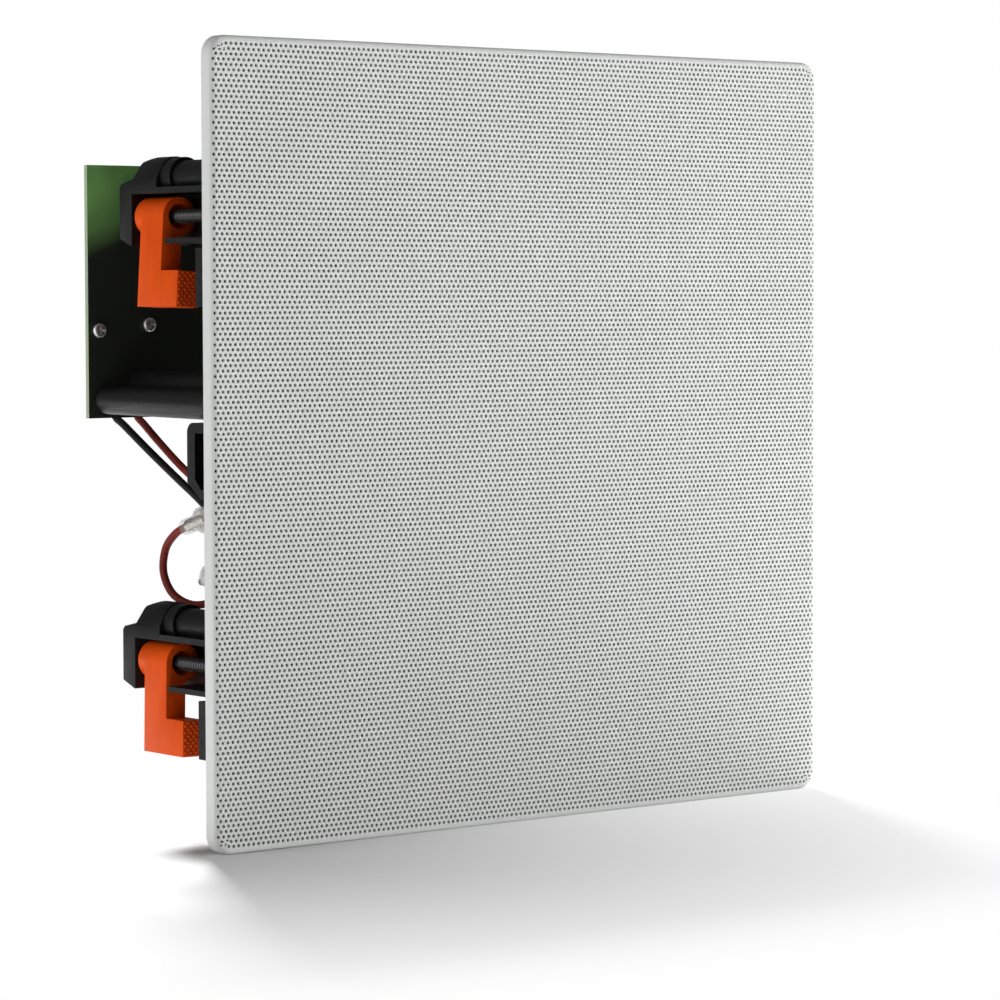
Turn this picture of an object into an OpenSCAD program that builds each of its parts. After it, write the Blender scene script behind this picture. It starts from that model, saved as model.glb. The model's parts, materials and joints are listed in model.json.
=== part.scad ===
// Square in-ceiling loudspeaker with a magnetic grille, four dog-leg clamps and an open crossover board.
// The origin is the centre of the flange's rear face, which seats on the ceiling board.
// +Y goes up into the ceiling, the grille faces -Y, and +Z is the side that carries the crossover board.

/* [Grille] */
// Outside width and height of the square grille
grille_w = 230; // [228:1:250]
// Outside radius of the grille's corners
grille_corner_r = 5.5; // [4.5:0.5:10]
// Depth of the grille's folded rim
rim_depth = 4.6; // [4.3:0.1:4.8]
// Thickness of the grille's sheet steel
sheet_t = 0.8; // [0.6:0.1:1]
// Outside radius of the fold round the grille's edge
fold_r = 1.5; // [1.4:0.1:3]
// Distance between neighbouring holes of a row
hole_pitch = 8.5; // [8:0.1:14]
// Diameter of one hole
hole_d = 4.6; // [3:0.1:6]
// Plain border between the fold and the holes
hole_border = 2; // [1:0.5:8]
// Thickness of the cloth behind the grille
cloth_t = 0.4; // [0.2:0.1:0.5]
// Diameter of a grille magnet
magnet_d = 8; // [5:0.5:9]
// Length of a grille magnet
magnet_len = 3; // [2:0.5:3]

/* [Frame] */
// Outside width and height of the insert that passes through the cut-out
insert_w = 198; // [194:1:200]
// Depth of the insert's walls behind the flange
insert_depth = 22; // [18:1:25]
// Wall thickness of the insert
wall_t = 2.2; // [1.6:0.1:2.4]
// Thickness of the flange
flange_t = 3.6; // [3.2:0.1:3.7]
// Distance from the ceiling face back to the baffle's front face
baffle_setback = 8; // [8:0.5:10]
// Thickness of the baffle
baffle_t = 3.5; // [2.5:0.1:5]
// Thickness of the radial ribs behind the baffle
rib_t = 1.8; // [1.2:0.1:3]

/* [Ceiling clamps] */
// Distance of the clamp screws from the middle, up and down
clamp_z = 65.5; // [62:0.5:68]
// Depth of the clamp towers behind the ceiling face
tower_depth = 67; // [62:1:74]
// Length of a tower's end cap
cap_len = 19.7; // [18:0.1:22]
// Thickness of the cap's end wall
cap_wall = 6.5; // [5:0.1:8]
// Diameter of the clamp screw
screw_d = 4.2; // [3.5:0.1:4.8]
// Diameter of the clamp screw's head
screw_head_d = 7; // [6:0.1:7.2]
// Outside diameter of the dog-leg's sleeve
sleeve_d = 11.4; // [10:0.1:12]
// Length of the dog-leg's sleeve
sleeve_len = 15.2; // [13:0.1:15.8]
// Reach of the dog-leg from the screw's axis to its tip
arm_reach = 26.7; // [24:0.1:30]
// Width of the dog-leg's arm along the screw
arm_w = 11.6; // [8:0.1:13]
// Thickness of the dog-leg's arm
arm_t = 6.7; // [5:0.1:7.5]
// How far the foot stands in front of the arm
foot_reach = 9; // [6:0.5:12]
// Height of the foot along the arm
foot_h = 10.6; // [8:0.1:12]
// Thickness of the foot
foot_t = 7.4; // [6:0.1:8]
// Outside radius of the round post on each tower
post_r = 4.8; // [4:0.1:5]

/* [Woofer] */
// Outside diameter of the basket's rim
basket_d = 164; // [160:1:170]
// Diameter of the baffle's opening for the basket
opening_d = 146; // [144:1:148]
// Thickness of the basket's rim
basket_rim_t = 4; // [3:0.1:4.5]
// Thickness of the basket's sloping wall
basket_t = 2.4; // [1.8:0.1:3]
// Radius of the surround's half roll
roll_r = 4; // [3:0.1:4.3]
// Thickness of the surround
surround_t = 0.8; // [0.5:0.1:1]
// Thickness of the cone's paper
cone_t = 0.8; // [0.5:0.1:1.2]
// Diameter of the ring magnet
ring_magnet_d = 90; // [80:1:94]
// Thickness of the ring magnet
ring_magnet_t = 15; // [10:1:16]
// Thickness of the top plate
top_plate_t = 6; // [4:0.5:7]
// Thickness of the back plate
back_plate_t = 6; // [4:0.5:7]
// Diameter of the pole
pole_d = 26; // [24:0.5:26.4]
// Diameter of a woofer screw
woofer_screw_d = 3.5; // [3:0.1:4]

/* [Tweeter] */
// Outside diameter of the tweeter's housing
tweeter_d = 34; // [30:1:38]
// Length of the tweeter's housing
tweeter_len = 14; // [12:0.5:16]
// Diameter of the tweeter's dome
dome_d = 19; // [14:0.5:22]
// Diameter of the post that carries the tweeter
tweeter_post_d = 10; // [8:0.5:14]

/* [Crossover] */
// Width of the circuit board, from its outer edge inwards
board_w = 62; // [60:1:64]
// Height of the circuit board
board_h = 76; // [74:1:80]
// Thickness of the circuit board
board_t = 1.6; // [1.2:0.1:2]
// Depth of the circuit board's front face behind the ceiling face
board_depth = 85; // [82:1:95]
// Radius of a board pillar at the board
pillar_tip_r = 4.2; // [3.4:0.1:4.6]
// Radius of a board pillar at the frame
pillar_foot_r = 4.7; // [4:0.1:4.9]
// Travel of an input terminal's lever
lever_travel = 2.5; // [1.5:0.1:3]

/* [Hidden] */

// Fits
slip = 0.4;
running = 0.05;
easy = 0.3;

// Depths along Y
rim_back = -0.4;
face_y = rim_back - rim_depth;
cloth_y = face_y + sheet_t;
baffle_y = baffle_setback;
baffle_back = baffle_y + baffle_t;

// Frame outline
flange_w = grille_w - 2 * (sheet_t + slip);
flange_corner_r = grille_corner_r - sheet_t - slip;
well_w = insert_w - 2 * wall_t;
insert_corner_r = 4;
magnet_r = magnet_d / 2;
magnet_from_axis = insert_w / 4 + 2.5;
magnet_edge = 7.8;
magnet_line = flange_w / 2 - magnet_edge;
magnet_boss_r = magnet_r + 1.2;
cloth_w = 2 * (magnet_line - magnet_r) - 3;

// Clamp tower, drawn round the screw's axis with its open side at -X
side_gap = 0.3;
sleeve_r = sleeve_d / 2;
clamp_x = insert_w / 2 - sleeve_r - side_gap;
tower_out = -sleeve_r - side_gap;
channel_in = sleeve_r + 0.5;
channel_t = 2;
tower_in = channel_in + channel_t;
channel_top = sleeve_r + 1;
channel_top_t = 1.8;
shelf_top = -sleeve_r - 0.7;
shelf_t = 1.6;
cap_front = tower_depth - cap_len;
cap_inner = tower_depth - cap_wall;
sleeve_back = cap_inner - 1.2;
sleeve_front = sleeve_back - sleeve_len;
shelf_end = sleeve_front - 1.2;
recess_depth = 5;
recess_r = sleeve_r - 2;
post_x = 1.2;
post_z = channel_top + post_r;
collar_r = post_r + 1;
cap_round_r = post_r + 1.3;
cap_shoulder = post_z - 0.7;
cap_foot = shelf_top - 2.1;
cap_screw_r = 1.4;
screw_head_h = 2.8;
screw_r = screw_d / 2;
bearing_depth = cap_wall - 1.5;
// Degrees that each dog-leg hangs out of its fully folded place
hang = [3.5, 1, 1.5, 1];

// Side lug of the frame
lug_depth = 32;
lug_top = 5.7;
lug_bottom = -16.6;
lug_t = 10;
lug_r = 3;

// Woofer
basket_r = basket_d / 2;
rim_front = baffle_y - basket_rim_t;
neck_y = 31;
ledge_y = 37;
ledge_t = 2.5;
seat_y = 44;
seat_t = 3;
motor_y = seat_y + seat_t;
gap_in = pole_d / 2 + 0.7;
former_t = 0.4;
coil_t = 0.6;
gap_out = gap_in + former_t + coil_t + 0.7;
roll_inset = 6;
roll_mid = opening_d / 2 - roll_inset;
cone_edge_r = roll_mid - roll_r - surround_t / 2;
cone_lip = 3.5;
neck_r = gap_in + former_t;
ledge_r = 44;
spider_in = neck_r + running;
spider_t = 0.5;
spider_wave = 1.4;
spider_folds = 5;
spider_land = 5;
waist_r = 62;
waist_y = 31;
seat_r = 50;
// Outer wall of the basket as radius and depth, from the rim to the motor's seat
basket_wall = [[opening_d / 2 - slip, baffle_y], [opening_d / 2 - slip, baffle_back + 1],
    [waist_r, waist_y], [seat_r, seat_y - 4], [seat_r, motor_y]];
window_start = 38.5;
window_turn = 42;
window_front = baffle_back + 4;
window_back = waist_y + 3;
lug_plate_t = 3;
lug_root = waist_r - 1;
magnet_back = motor_y + top_plate_t + ring_magnet_t;
woofer_screw_ring = (basket_r + opening_d / 2) / 2;
woofer_screw_turn = 45;
woofer_head_r = woofer_screw_d / 2 + 1.9;
screw_cap_h = 2;
glue_edge = woofer_screw_ring - woofer_head_r - easy;

// Tweeter
tweeter_front = 1.5;
tweeter_back = tweeter_front + tweeter_len;
tweeter_r = tweeter_d / 2;
dome_r = dome_d / 2;
dome_h = 3;
ring_t = 1.6;

// Crossover board, whose outer edge lines up with the insert
board_x = -insert_w / 2 + 0.1;
board_z = 5.5;
board_back = board_depth + board_t;
pillars = [[5, 5.5], [16.3, 10.2], [23, 69.5], [54, 69.5]];
// The second pillar only rests on the board, and the others take a screw
screwed = [0, 2, 3];
pillar_seat = insert_depth;
pillar_screw_r = 1.4;
pillar_screw_len = 9;
board_screw_r = 1.4;
inductor_places = [[42, 54, 12.5, 18], [44, 20, 11, 14]];
capacitor_place = [16.4, 18.1];
capacitor_r = 7.2;
capacitor_h = 15;
film_place = [43.5, 36];
film_r = 4.5;
film_len = 22;
resistor_size = [20, 7.5, 7];
resistor_places = [[7, 49.5], [7, 58.2]];
block_x = 9;
block_z = 30.5;
block_w = 22;
block_h = 16;
block_d = 12;
ear_t = 1.2;
ear_r = 2.7;
ears = [[3.5, 26.4], [21.4, 28]];
lever_w = 8;
lever_h = 6;
lever_len = 6.5;
lever_seat = 3.4;
lever_side = 0.2;
pocket_w = lever_w + 2 * lever_side;
pocket_h = lever_h + 2 * lever_side;
ear_top = block_z + 4;

// Push-on terminals of the woofer
strip_x = -90;
strip_w = 20;
strip_y = 28;
strip_t = 2;
strip_top = -17.4;
strip_h = 30;
// Place across and up, tilt downwards and turn inwards of each tab
tab_places = [[-87, -20.4, 15, 0], [-88.5, -38, 10, 22]];
tab_t = 0.8;
tab_w = 4.8;
tab_len = 9;
grip_front = 2;
grip_len = 9;
grip_w = 6.2;
grip_t = 3;
barrel_len = 9;
barrel_r = 1.9;
terminal_end = grip_front + grip_len + barrel_len;
sleeve_wall = 0.5;
sleeve_tail = 2;

// Leads: diameter and route points, from just behind the board to just behind a push-on terminal
lead_d = 2.4;
lead_steps = 2;
red_pad = [-76, 15.2];
red_route = [[-76, 89, 15.2], [-76, 93.2, 13.6], [-76, 95, 9.6], [-76.1, 93.4, 5.4], [-76.8, 88.6, 3],
    [-79.4, 76, -2.2], [-82.5, 60, -8.5], [-82, 47, -15.5], [-77, 38.5, -26], [-74.5, 38, -37],
    [-77.6, 43.5, -46], [-82.8, 51, -49.4], [-86, 58.6, -47], [-87, 63, -40.5], [-87, 61.8, -33],
    [-87, 56, -28]];
black_pad = [-84, 15.2];
black_route = [[-84, 89, 15.2], [-84, 93.2, 13.6], [-84, 95, 9.6], [-84, 93.4, 5.4], [-84.1, 88.6, 3],
    [-84.4, 75, -4], [-84, 60, -12], [-82, 49.5, -19], [-78, 46.6, -25.5], [-71.5, 48.5, -29],
    [-67.5, 53.5, -33], [-68.6, 58.6, -38.4], [-73.4, 60, -42.6], [-78, 56, -43]];

// Solid between two depths whose outline is drawn in X and Z
module along_y(y0, y1) translate([0, y1, 0]) rotate([90, 0, 0]) linear_extrude(y1 - y0) children();

// Solid between two widths whose outline is drawn in Y and Z
module along_x(x0, x1) translate([x0, 0, 0]) rotate([90, 0, 90]) linear_extrude(x1 - x0) children();

// Solid turned about the Y axis from an outline of radius and depth
module turned(turn = 360) rotate([-90, 0, 0]) rotate_extrude(angle = turn, $fn = 96) children();

// Round bar along Y
module rod(y0, y1, r, r2 = undef) translate([0, y0, 0]) rotate([-90, 0, 0])
    cylinder(h = y1 - y0, r1 = r, r2 = is_undef(r2) ? r : r2, $fn = 48);

// Block between two corners
module block(low, high) translate(low) cube(high - low);

module rounded_square(w, r) {
    square([w, w - 2 * r], center = true);
    square([w - 2 * r, w], center = true);
    for (sx = [-1, 1], sz = [-1, 1]) translate([sx * (w / 2 - r), sz * (w / 2 - r)]) circle(r, $fn = 48);
}

// Places a piece on clamp 1 to 4: left upper, left lower, right upper, right lower
module at_clamp(i) rotate([0, i < 2 ? 0 : 180, 0])
    translate([-clamp_x, 0, (i == 0 || i == 3) ? clamp_z : -clamp_z]) children();

// Half section of the sheet's fold, as distance outwards and depth
function fold_outline() = concat(
    [[0, face_y]],
    [for (a = [0:22.5:90]) [fold_r * sin(a), face_y + fold_r * (1 - cos(a))]],
    [[fold_r, rim_back], [fold_r - sheet_t, rim_back]],
    [for (a = [90:-22.5:0]) [(fold_r - sheet_t) * sin(a), face_y + fold_r - (fold_r - sheet_t) * cos(a)]]);

module perforated_face(w, r) {
    row_step = hole_pitch * sin(60);
    field = w / 2 - hole_border - hole_d / 2;
    rows = floor(field / row_step);
    columns = ceil(field / hole_pitch);
    difference() {
        rounded_square(w, r);
        for (j = [-rows:rows], i = [-columns:columns]) {
            x = (i + (abs(j) % 2) / 2) * hole_pitch;
            if (abs(x) <= field) translate([x, j * row_step]) circle(hole_d / 2, $fn = 16);
        }
    }
}

module grille() color([0.85, 0.86, 0.85]) {
    flat_w = grille_w - 2 * fold_r;
    turn_r = grille_corner_r - fold_r;
    straight = flat_w - 2 * turn_r;
    along_y(face_y, face_y + sheet_t) perforated_face(flat_w, turn_r);
    for (k = [0:3]) rotate([0, 90 * k, 0]) {
        translate([-straight / 2, 0, flat_w / 2]) rotate([90, 0, 90]) linear_extrude(straight)
            polygon([for (p = fold_outline()) [p[1], p[0]]]);
        translate([straight / 2, 0, straight / 2]) rotate([-90, 0, 0]) rotate_extrude(angle = -90, $fn = 48)
            polygon([for (p = fold_outline()) [p[0] + turn_r, p[1]]]);
    }
}

module grille_cloth() color([0.08, 0.08, 0.08])
    along_y(cloth_y, cloth_y + cloth_t) rounded_square(cloth_w, 3);

module magnet_places() for (k = [0:3], s = [-1, 1]) rotate([0, 90 * k, 0])
    translate([magnet_line, 0, s * magnet_from_axis]) children();

module grille_magnets() color([0.6, 0.6, 0.62])
    magnet_places() rod(cloth_y, cloth_y + magnet_len, magnet_r);

// Channel, post and shelf of one clamp tower, from the baffle to the cap
module tower() {
    top = cap_front;
    block([tower_out, baffle_back - 1, channel_top], [tower_in, top, channel_top + channel_top_t]);
    block([channel_in, baffle_back - 1, shelf_top - shelf_t], [tower_in, top, channel_top + 1]);
    block([tower_out, baffle_back - 1, shelf_top - shelf_t], [tower_in, shelf_end, shelf_top]);
    translate([post_x, 0, post_z]) rod(baffle_back - 1, top, post_r);
    translate([post_x, 0, post_z]) rod(top - 5, top, collar_r);
    block([post_x + 1, baffle_back - 1, channel_top + 1], [tower_in, top, post_z]);
    block([tower_out, 1, shelf_top - 20], [tower_out + wall_t, insert_depth + 5, shelf_top - 3]);
}

// Room for the dog-leg inside a tower, open to the side and to the insert's wall
module tower_room() {
    block([tower_out - 3, baffle_back, shelf_top], [channel_in, cap_front + 1, channel_top]);
    translate([post_x, 0, post_z]) rod(cap_front - 12, cap_front, cap_screw_r);
}

module side_lug() {
    outer = -insert_w / 2;
    low = lug_bottom + lug_r;
    high = lug_top - lug_r;
    back = lug_depth - lug_r;
    along_x(outer, outer + lug_t) difference() {
        union() {
            polygon([[baffle_back - 1, lug_bottom], [back - 4, lug_bottom], [lug_depth, low + 2],
                [lug_depth, high], [back, high], [back, lug_top], [baffle_back - 1, lug_top]]);
            translate([back, high]) circle(lug_r, $fn = 32);
        }
        polygon([[insert_depth + 1, low], [back - 4, low], [back - 1, low + 3], [back - 1, high],
            [insert_depth + 1, high]]);
    }
}

module frame() color([0.13, 0.13, 0.13]) difference() {
    union() {
        along_y(-flange_t, 0) difference() {
            rounded_square(flange_w, flange_corner_r);
            rounded_square(well_w, insert_corner_r - wall_t + 0.2);
        }
        along_y(-1, insert_depth) difference() {
            rounded_square(insert_w, insert_corner_r);
            rounded_square(well_w, insert_corner_r - wall_t + 0.2);
        }
        along_y(baffle_y, baffle_back) difference() {
            rounded_square(insert_w - 1, insert_corner_r);
            circle(opening_d / 2, $fn = 96);
        }
        for (a = [22.5:45:337.5]) rotate([0, a, 0])
            block([opening_d / 2 + 6, baffle_back - 1, -rib_t / 2],
                [insert_w / 2 - 1, insert_depth, rib_t / 2]);
        for (i = [0:3]) at_clamp(i) tower();
        for (p = pillars) translate([board_x + p[0], 0, board_z + p[1]])
            rod(baffle_back - 1, pillar_seat, pillar_foot_r);
        for (turn = [0, 180]) rotate([0, turn, 0]) side_lug();
        magnet_places() rod(-flange_t, 0, magnet_boss_r);
    }
    for (i = [0:3]) at_clamp(i) {
        tower_room();
        rod(baffle_y - 1, baffle_back + 1, screw_r + running);
    }
    magnet_places() rod(-flange_t - 1, cloth_y + magnet_len, magnet_r + 0.1);
    for (k = [0:3]) rotate([0, woofer_screw_turn + 90 * k, 0]) translate([woofer_screw_ring, 0, 0])
        rod(baffle_y - 1, baffle_back + 1, woofer_screw_d / 2);
}

// Points of an arc round a centre
function arc(centre, r, from, to, steps) =
    [for (k = [0:steps]) let (a = from + (to - from) * k / steps) centre + r * [cos(a), sin(a)]];

// Outline of the cap seen from behind: a flat side that slopes up to a round crown over the post
module cap_outline() polygon(concat(
    [[tower_out, cap_foot], [tower_out, cap_shoulder]],
    arc([post_x, post_z], cap_round_r, 142, -20, 18),
    [[tower_in, channel_top], [tower_in, cap_foot]]));

// Outline of the cap seen from the side
module cap_side() {
    crown = post_z + cap_round_r;
    polygon([[cap_front, cap_foot], [cap_front, crown], [cap_inner - 5.5, crown],
        [cap_inner - 1.7, crown - 1.5], [cap_inner - 0.5, cap_shoulder + 0.3],
        [tower_depth - 1, cap_shoulder - 1], [tower_depth, cap_shoulder - 2],
        [tower_depth, cap_foot + 2.2], [cap_inner + 0.5, cap_foot]]);
}

module end_cap() color([0.12, 0.12, 0.12]) difference() {
    intersection() {
        along_y(cap_front, tower_depth) cap_outline();
        along_x(-30, 30) cap_side();
    }
    block([tower_out - 1, cap_front - 1, cap_foot - 1], [channel_in, cap_inner, channel_top]);
    rod(cap_inner - 1, cap_inner + bearing_depth, screw_r + running);
    translate([post_x, 0, post_z]) {
        rod(cap_front - 1, tower_depth, cap_screw_r + 0.15);
        rod(cap_inner - 5, tower_depth, 3);
    }
}

module cap_screws() color([0.2, 0.2, 0.2]) for (i = [0:3]) at_clamp(i) translate([post_x, 0, post_z]) {
    rod(cap_front - 10, cap_inner - 5, cap_screw_r);
    rod(cap_inner - 5, cap_inner - 3.2, 2.7);
}

module clamp_screw() color([0.12, 0.12, 0.12]) {
    rod(baffle_y, cap_inner + bearing_depth - 0.5, screw_r);
    difference() {
        rod(baffle_y - screw_head_h, baffle_y, screw_head_d / 2 - 1, screw_head_d / 2);
        for (a = [0, 90]) rotate([0, a, 0])
            block([-2, baffle_y - screw_head_h - 1, -0.5], [2, baffle_y - screw_head_h + 1.6, 0.5]);
    }
}

module dog_leg(lean) color([0.87, 0.36, 0.12]) rotate([0, lean, 0]) difference() {
    union() {
        rod(sleeve_front, sleeve_back, sleeve_r);
        block([-sleeve_r, sleeve_front, -arm_reach], [arm_t - sleeve_r, sleeve_front + arm_w, 0]);
        block([-sleeve_r, sleeve_front - foot_reach, -arm_reach],
            [foot_t - sleeve_r, sleeve_front + arm_w, foot_h - arm_reach]);
    }
    rod(sleeve_front - 1, sleeve_back + 1, screw_r + running);
    rod(sleeve_front - 1, sleeve_front + recess_depth, recess_r);
}

module basket() color([0.1, 0.1, 0.1]) {
    difference() {
        turned() {
            polygon(concat([[basket_r, rim_front], [basket_r, baffle_y]], basket_wall, [
                [gap_out + 4, motor_y], [gap_out + 4, seat_y],
                [seat_r - basket_t, seat_y], [seat_r - basket_t, ledge_y + ledge_t],
                [ledge_r, ledge_y + ledge_t], [ledge_r, ledge_y], [seat_r + 3.5, ledge_y],
                [waist_r - basket_t, waist_y - 0.6],
                [basket_wall[1][0] - basket_t, baffle_back + 0.4],
                [basket_wall[0][0] - basket_t, rim_front]]));
        }
        for (k = [0:5]) rotate([0, window_start + 60 * k, 0]) turned(window_turn)
            polygon([[ledge_r + 12, window_front], [basket_r, window_front], [basket_r, window_back],
                [ledge_r + 12, window_back]]);
        for (k = [0:3]) rotate([0, woofer_screw_turn + 90 * k, 0]) translate([woofer_screw_ring, 0, 0])
            rod(rim_front - 1, baffle_y + 1, woofer_screw_d / 2 + 0.2);
    }
    difference() {
        block([strip_x + strip_w - 6, strip_y - lug_plate_t, strip_top - strip_h + 6],
            [3 - seat_r, strip_y, strip_top - 6]);
        rod(strip_y - lug_plate_t - 1, strip_y + 1, lug_root + 2);
    }
}

module woofer_screws() color([0.15, 0.15, 0.15]) for (k = [0:3])
    rotate([0, woofer_screw_turn + 90 * k, 0]) translate([woofer_screw_ring, 0, 0]) {
        rod(rim_front, baffle_back + 3, woofer_screw_d / 2);
        rod(rim_front - screw_cap_h, rim_front, woofer_head_r - 0.9, woofer_head_r);
    }

module surround() color([0.07, 0.07, 0.07]) turned() polygon(concat(
    [[glue_edge, rim_front], [glue_edge, rim_front - surround_t]],
    [for (a = [0:15:180]) [roll_mid + roll_r * cos(a), rim_front - surround_t - roll_r * sin(a)]],
    [[cone_edge_r - cone_lip, rim_front - surround_t], [cone_edge_r - cone_lip, rim_front]],
    [for (a = [180:-15:0]) [roll_mid, rim_front] + (roll_r - surround_t) * [cos(a), -sin(a)]]));

// Point on the cone's front at a share of the way from its lip to its neck
function cone_point(s) = [
    neck_r + (cone_edge_r - cone_lip - neck_r) * (1 - s),
    rim_front + (neck_y - rim_front) * (1 - pow(1 - s, 1.25))];

module cone() color([0.14, 0.14, 0.15]) turned() polygon(concat(
    [[cone_edge_r, rim_front], [cone_edge_r, rim_front + cone_t]],
    [for (s = [0:0.1:1]) cone_point(s) + [0, cone_t]],
    [for (s = [1:-0.1:0]) cone_point(s)]));

// Depth of the corrugated spider's front at a radius
function spider_y(r) = ledge_y - spider_t
    + spider_wave * sin((r - spider_in) / (ledge_r - spider_in) * 360 * spider_folds);

module spider() color([0.75, 0.66, 0.42]) {
    radii = [for (r = [spider_in:0.75:ledge_r]) r];
    turned() polygon(concat(
        [for (r = radii) [r, spider_y(r)]],
        [[ledge_r, ledge_y - spider_t], [ledge_r + spider_land, ledge_y - spider_t]],
        [[ledge_r + spider_land, ledge_y], [ledge_r, ledge_y]],
        [for (k = [len(radii) - 1:-1:0]) [radii[k], spider_y(radii[k]) + spider_t]]));
}

module voice_coil() color([0.72, 0.45, 0.25]) turned() {
    coil_end = motor_y + top_plate_t + 2;
    polygon([[gap_in, neck_y - 3], [neck_r, neck_y - 3], [neck_r, motor_y - 2],
        [neck_r + coil_t, motor_y - 2], [neck_r + coil_t, coil_end], [gap_in, coil_end]]);
}

module top_plate() color([0.66, 0.67, 0.68])
    turned() translate([gap_out, motor_y]) square([ring_magnet_d / 2 - 3 - gap_out, top_plate_t]);

module ring_magnet() color([0.2, 0.2, 0.2])
    turned() translate([gap_out + 4, motor_y + top_plate_t])
        square([ring_magnet_d / 2 - gap_out - 4, ring_magnet_t]);

module back_plate() color([0.66, 0.67, 0.68]) turned() polygon([
    [0, motor_y], [pole_d / 2, motor_y], [pole_d / 2, magnet_back], [ring_magnet_d / 2 - 4, magnet_back],
    [ring_magnet_d / 2 - 4, magnet_back + back_plate_t - 1],
    [ring_magnet_d / 2 - 5, magnet_back + back_plate_t], [0, magnet_back + back_plate_t]]);

module tweeter_post() color([0.12, 0.12, 0.12]) turned() polygon([
    [0, tweeter_back], [tweeter_post_d / 2 + 2, tweeter_back], [tweeter_post_d / 2, tweeter_back + 3],
    [tweeter_post_d / 2, motor_y - 4], [pole_d / 2 - 1.5, motor_y - 2], [pole_d / 2 - 1.5, motor_y],
    [0, motor_y]]);

module tweeter_housing() color([0.12, 0.12, 0.12]) turned() polygon([
    [0, tweeter_front + 2], [dome_r + 0.6, tweeter_front + 2], [dome_r + 0.6, tweeter_front],
    [tweeter_r, tweeter_front], [tweeter_r, tweeter_back - 5], [tweeter_r - 5, tweeter_back],
    [0, tweeter_back]]);

module tweeter_dome() color([0.7, 0.7, 0.72]) turned() polygon(concat(
    [[0, tweeter_front + 2]],
    [[dome_r, tweeter_front + 2]],
    [for (a = [0:7.5:90]) [(dome_r - 0.6) * cos(a), tweeter_front + 1.4 - dome_h * sin(a)]]));

module tweeter_ring() color([0.12, 0.12, 0.12]) turned() polygon([
    [dome_r + 0.3, tweeter_front], [dome_r + 1, tweeter_front - ring_t],
    [tweeter_r - 1, tweeter_front - ring_t], [tweeter_r, tweeter_front - ring_t + 0.8],
    [tweeter_r, tweeter_front]]);

module at_board(p) translate([board_x + p[0], 0, board_z + p[1]]) children();

module board_pillars() color([0.1, 0.1, 0.1]) difference() {
    for (p = pillars) at_board(p) {
        rod(pillar_seat, board_depth - 3, pillar_foot_r, pillar_tip_r);
        rod(board_depth - 3, board_depth, pillar_tip_r, pillar_tip_r - 1.2);
    }
    for (k = screwed) at_board(pillars[k])
        rod(board_depth - pillar_screw_len - 1, board_depth + 1, pillar_screw_r);
}

module circuit_board() color([0.3, 0.46, 0.24]) difference() {
    block([board_x, board_depth, board_z], [board_x + board_w, board_back, board_z + board_h]);
    for (k = screwed) at_board(pillars[k]) rod(board_depth - 1, board_back + 1, pillar_screw_r + 0.2);
    for (p = ears) at_board(p) rod(board_depth - 1, board_back + 1, board_screw_r + 0.2);
}

module pillar_screws() color([0.75, 0.75, 0.76]) for (k = screwed) at_board(pillars[k]) {
    rod(board_depth - pillar_screw_len, board_back, pillar_screw_r);
    rod(board_back, board_back + 2, 2.8, 2.2);
}

// Screws that hold the terminal block, with their heads on the front of the board
module board_screws() color([0.78, 0.78, 0.79]) for (p = ears) at_board(p) {
    rod(board_depth - 1.6, board_depth, 1.5, 2.2);
    rod(board_depth, board_back + ear_t + 1.5, board_screw_r);
}

module inductors() for (p = inductor_places) at_board(p) {
    color([0.7, 0.4, 0.2]) translate([0, board_back, 0]) turned() polygon([
        [4, 0], [p[2], 0], [p[2], 1.5], [p[2] - 1.5, 1.5], [p[2] - 1.5, p[3] - 1.5], [p[2], p[3] - 1.5],
        [p[2], p[3]], [4, p[3]]]);
}

module capacitors() color([0.1, 0.1, 0.1]) {
    at_board(capacitor_place) {
        rod(board_back, board_back + capacitor_h - 1, capacitor_r);
        rod(board_back + capacitor_h - 1, board_back + capacitor_h, capacitor_r, capacitor_r - 1);
    }
    at_board(film_place) translate([-film_len / 2, board_back + film_r, 0]) rotate([0, 90, 0])
        cylinder(h = film_len, r = film_r, $fn = 48);
}

module resistors() color([0.85, 0.84, 0.8]) for (p = resistor_places) at_board(p)
    block([0, board_back, 0], [resistor_size[0], board_back + resistor_size[2], resistor_size[1]]);

module lever_places() for (k = [0, 1])
    at_board([block_x + block_w * (1 + 2 * k) / 4, block_z + 5]) children();

module terminal_block() color([0.1, 0.1, 0.1]) {
    back = board_back + block_d;
    difference() {
        at_board([block_x, block_z]) block([0, board_back, 0], [block_w, back, block_h]);
        lever_places() block([-pocket_w / 2, back - lever_seat - lever_travel, -pocket_h / 2],
            [pocket_w / 2, back + 1, pocket_h / 2]);
        lever_places() translate([0, board_back + 5, block_h - 11]) cylinder(h = 8, r = 1.6, $fn = 24);
    }
    difference() {
        union() {
            for (p = ears) at_board(p) rod(board_back, board_back + ear_t, ear_r);
            at_board([0, 0])
                block([ears[0][0], board_back, block_z], [block_x + 1, board_back + ear_t, ear_top]);
            for (p = ears) at_board(p)
                block([-ear_r, board_back, 0], [ear_r, board_back + ear_t, ear_top - p[1]]);
        }
        for (p = ears) at_board(p) rod(board_back - 1, board_back + ear_t + 1, board_screw_r + 0.15);
    }
}

module lever(k) {
    back = board_back + block_d;
    at_board([block_x + block_w * (1 + 2 * k) / 4, block_z + 5])
        block([-lever_w / 2, back - lever_seat, -lever_h / 2],
            [lever_w / 2, back - lever_seat + lever_len, lever_h / 2]);
}

module terminal_lever_red() color([0.75, 0.1, 0.08]) lever(0);

module terminal_lever_black() color([0.12, 0.12, 0.12]) lever(1);

// Frame of one push-on terminal, whose +Y leaves the strip
module at_tab(p) translate([p[0], strip_y + strip_t, p[1]]) rotate([-p[2], 0, -p[3]]) children();

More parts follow.
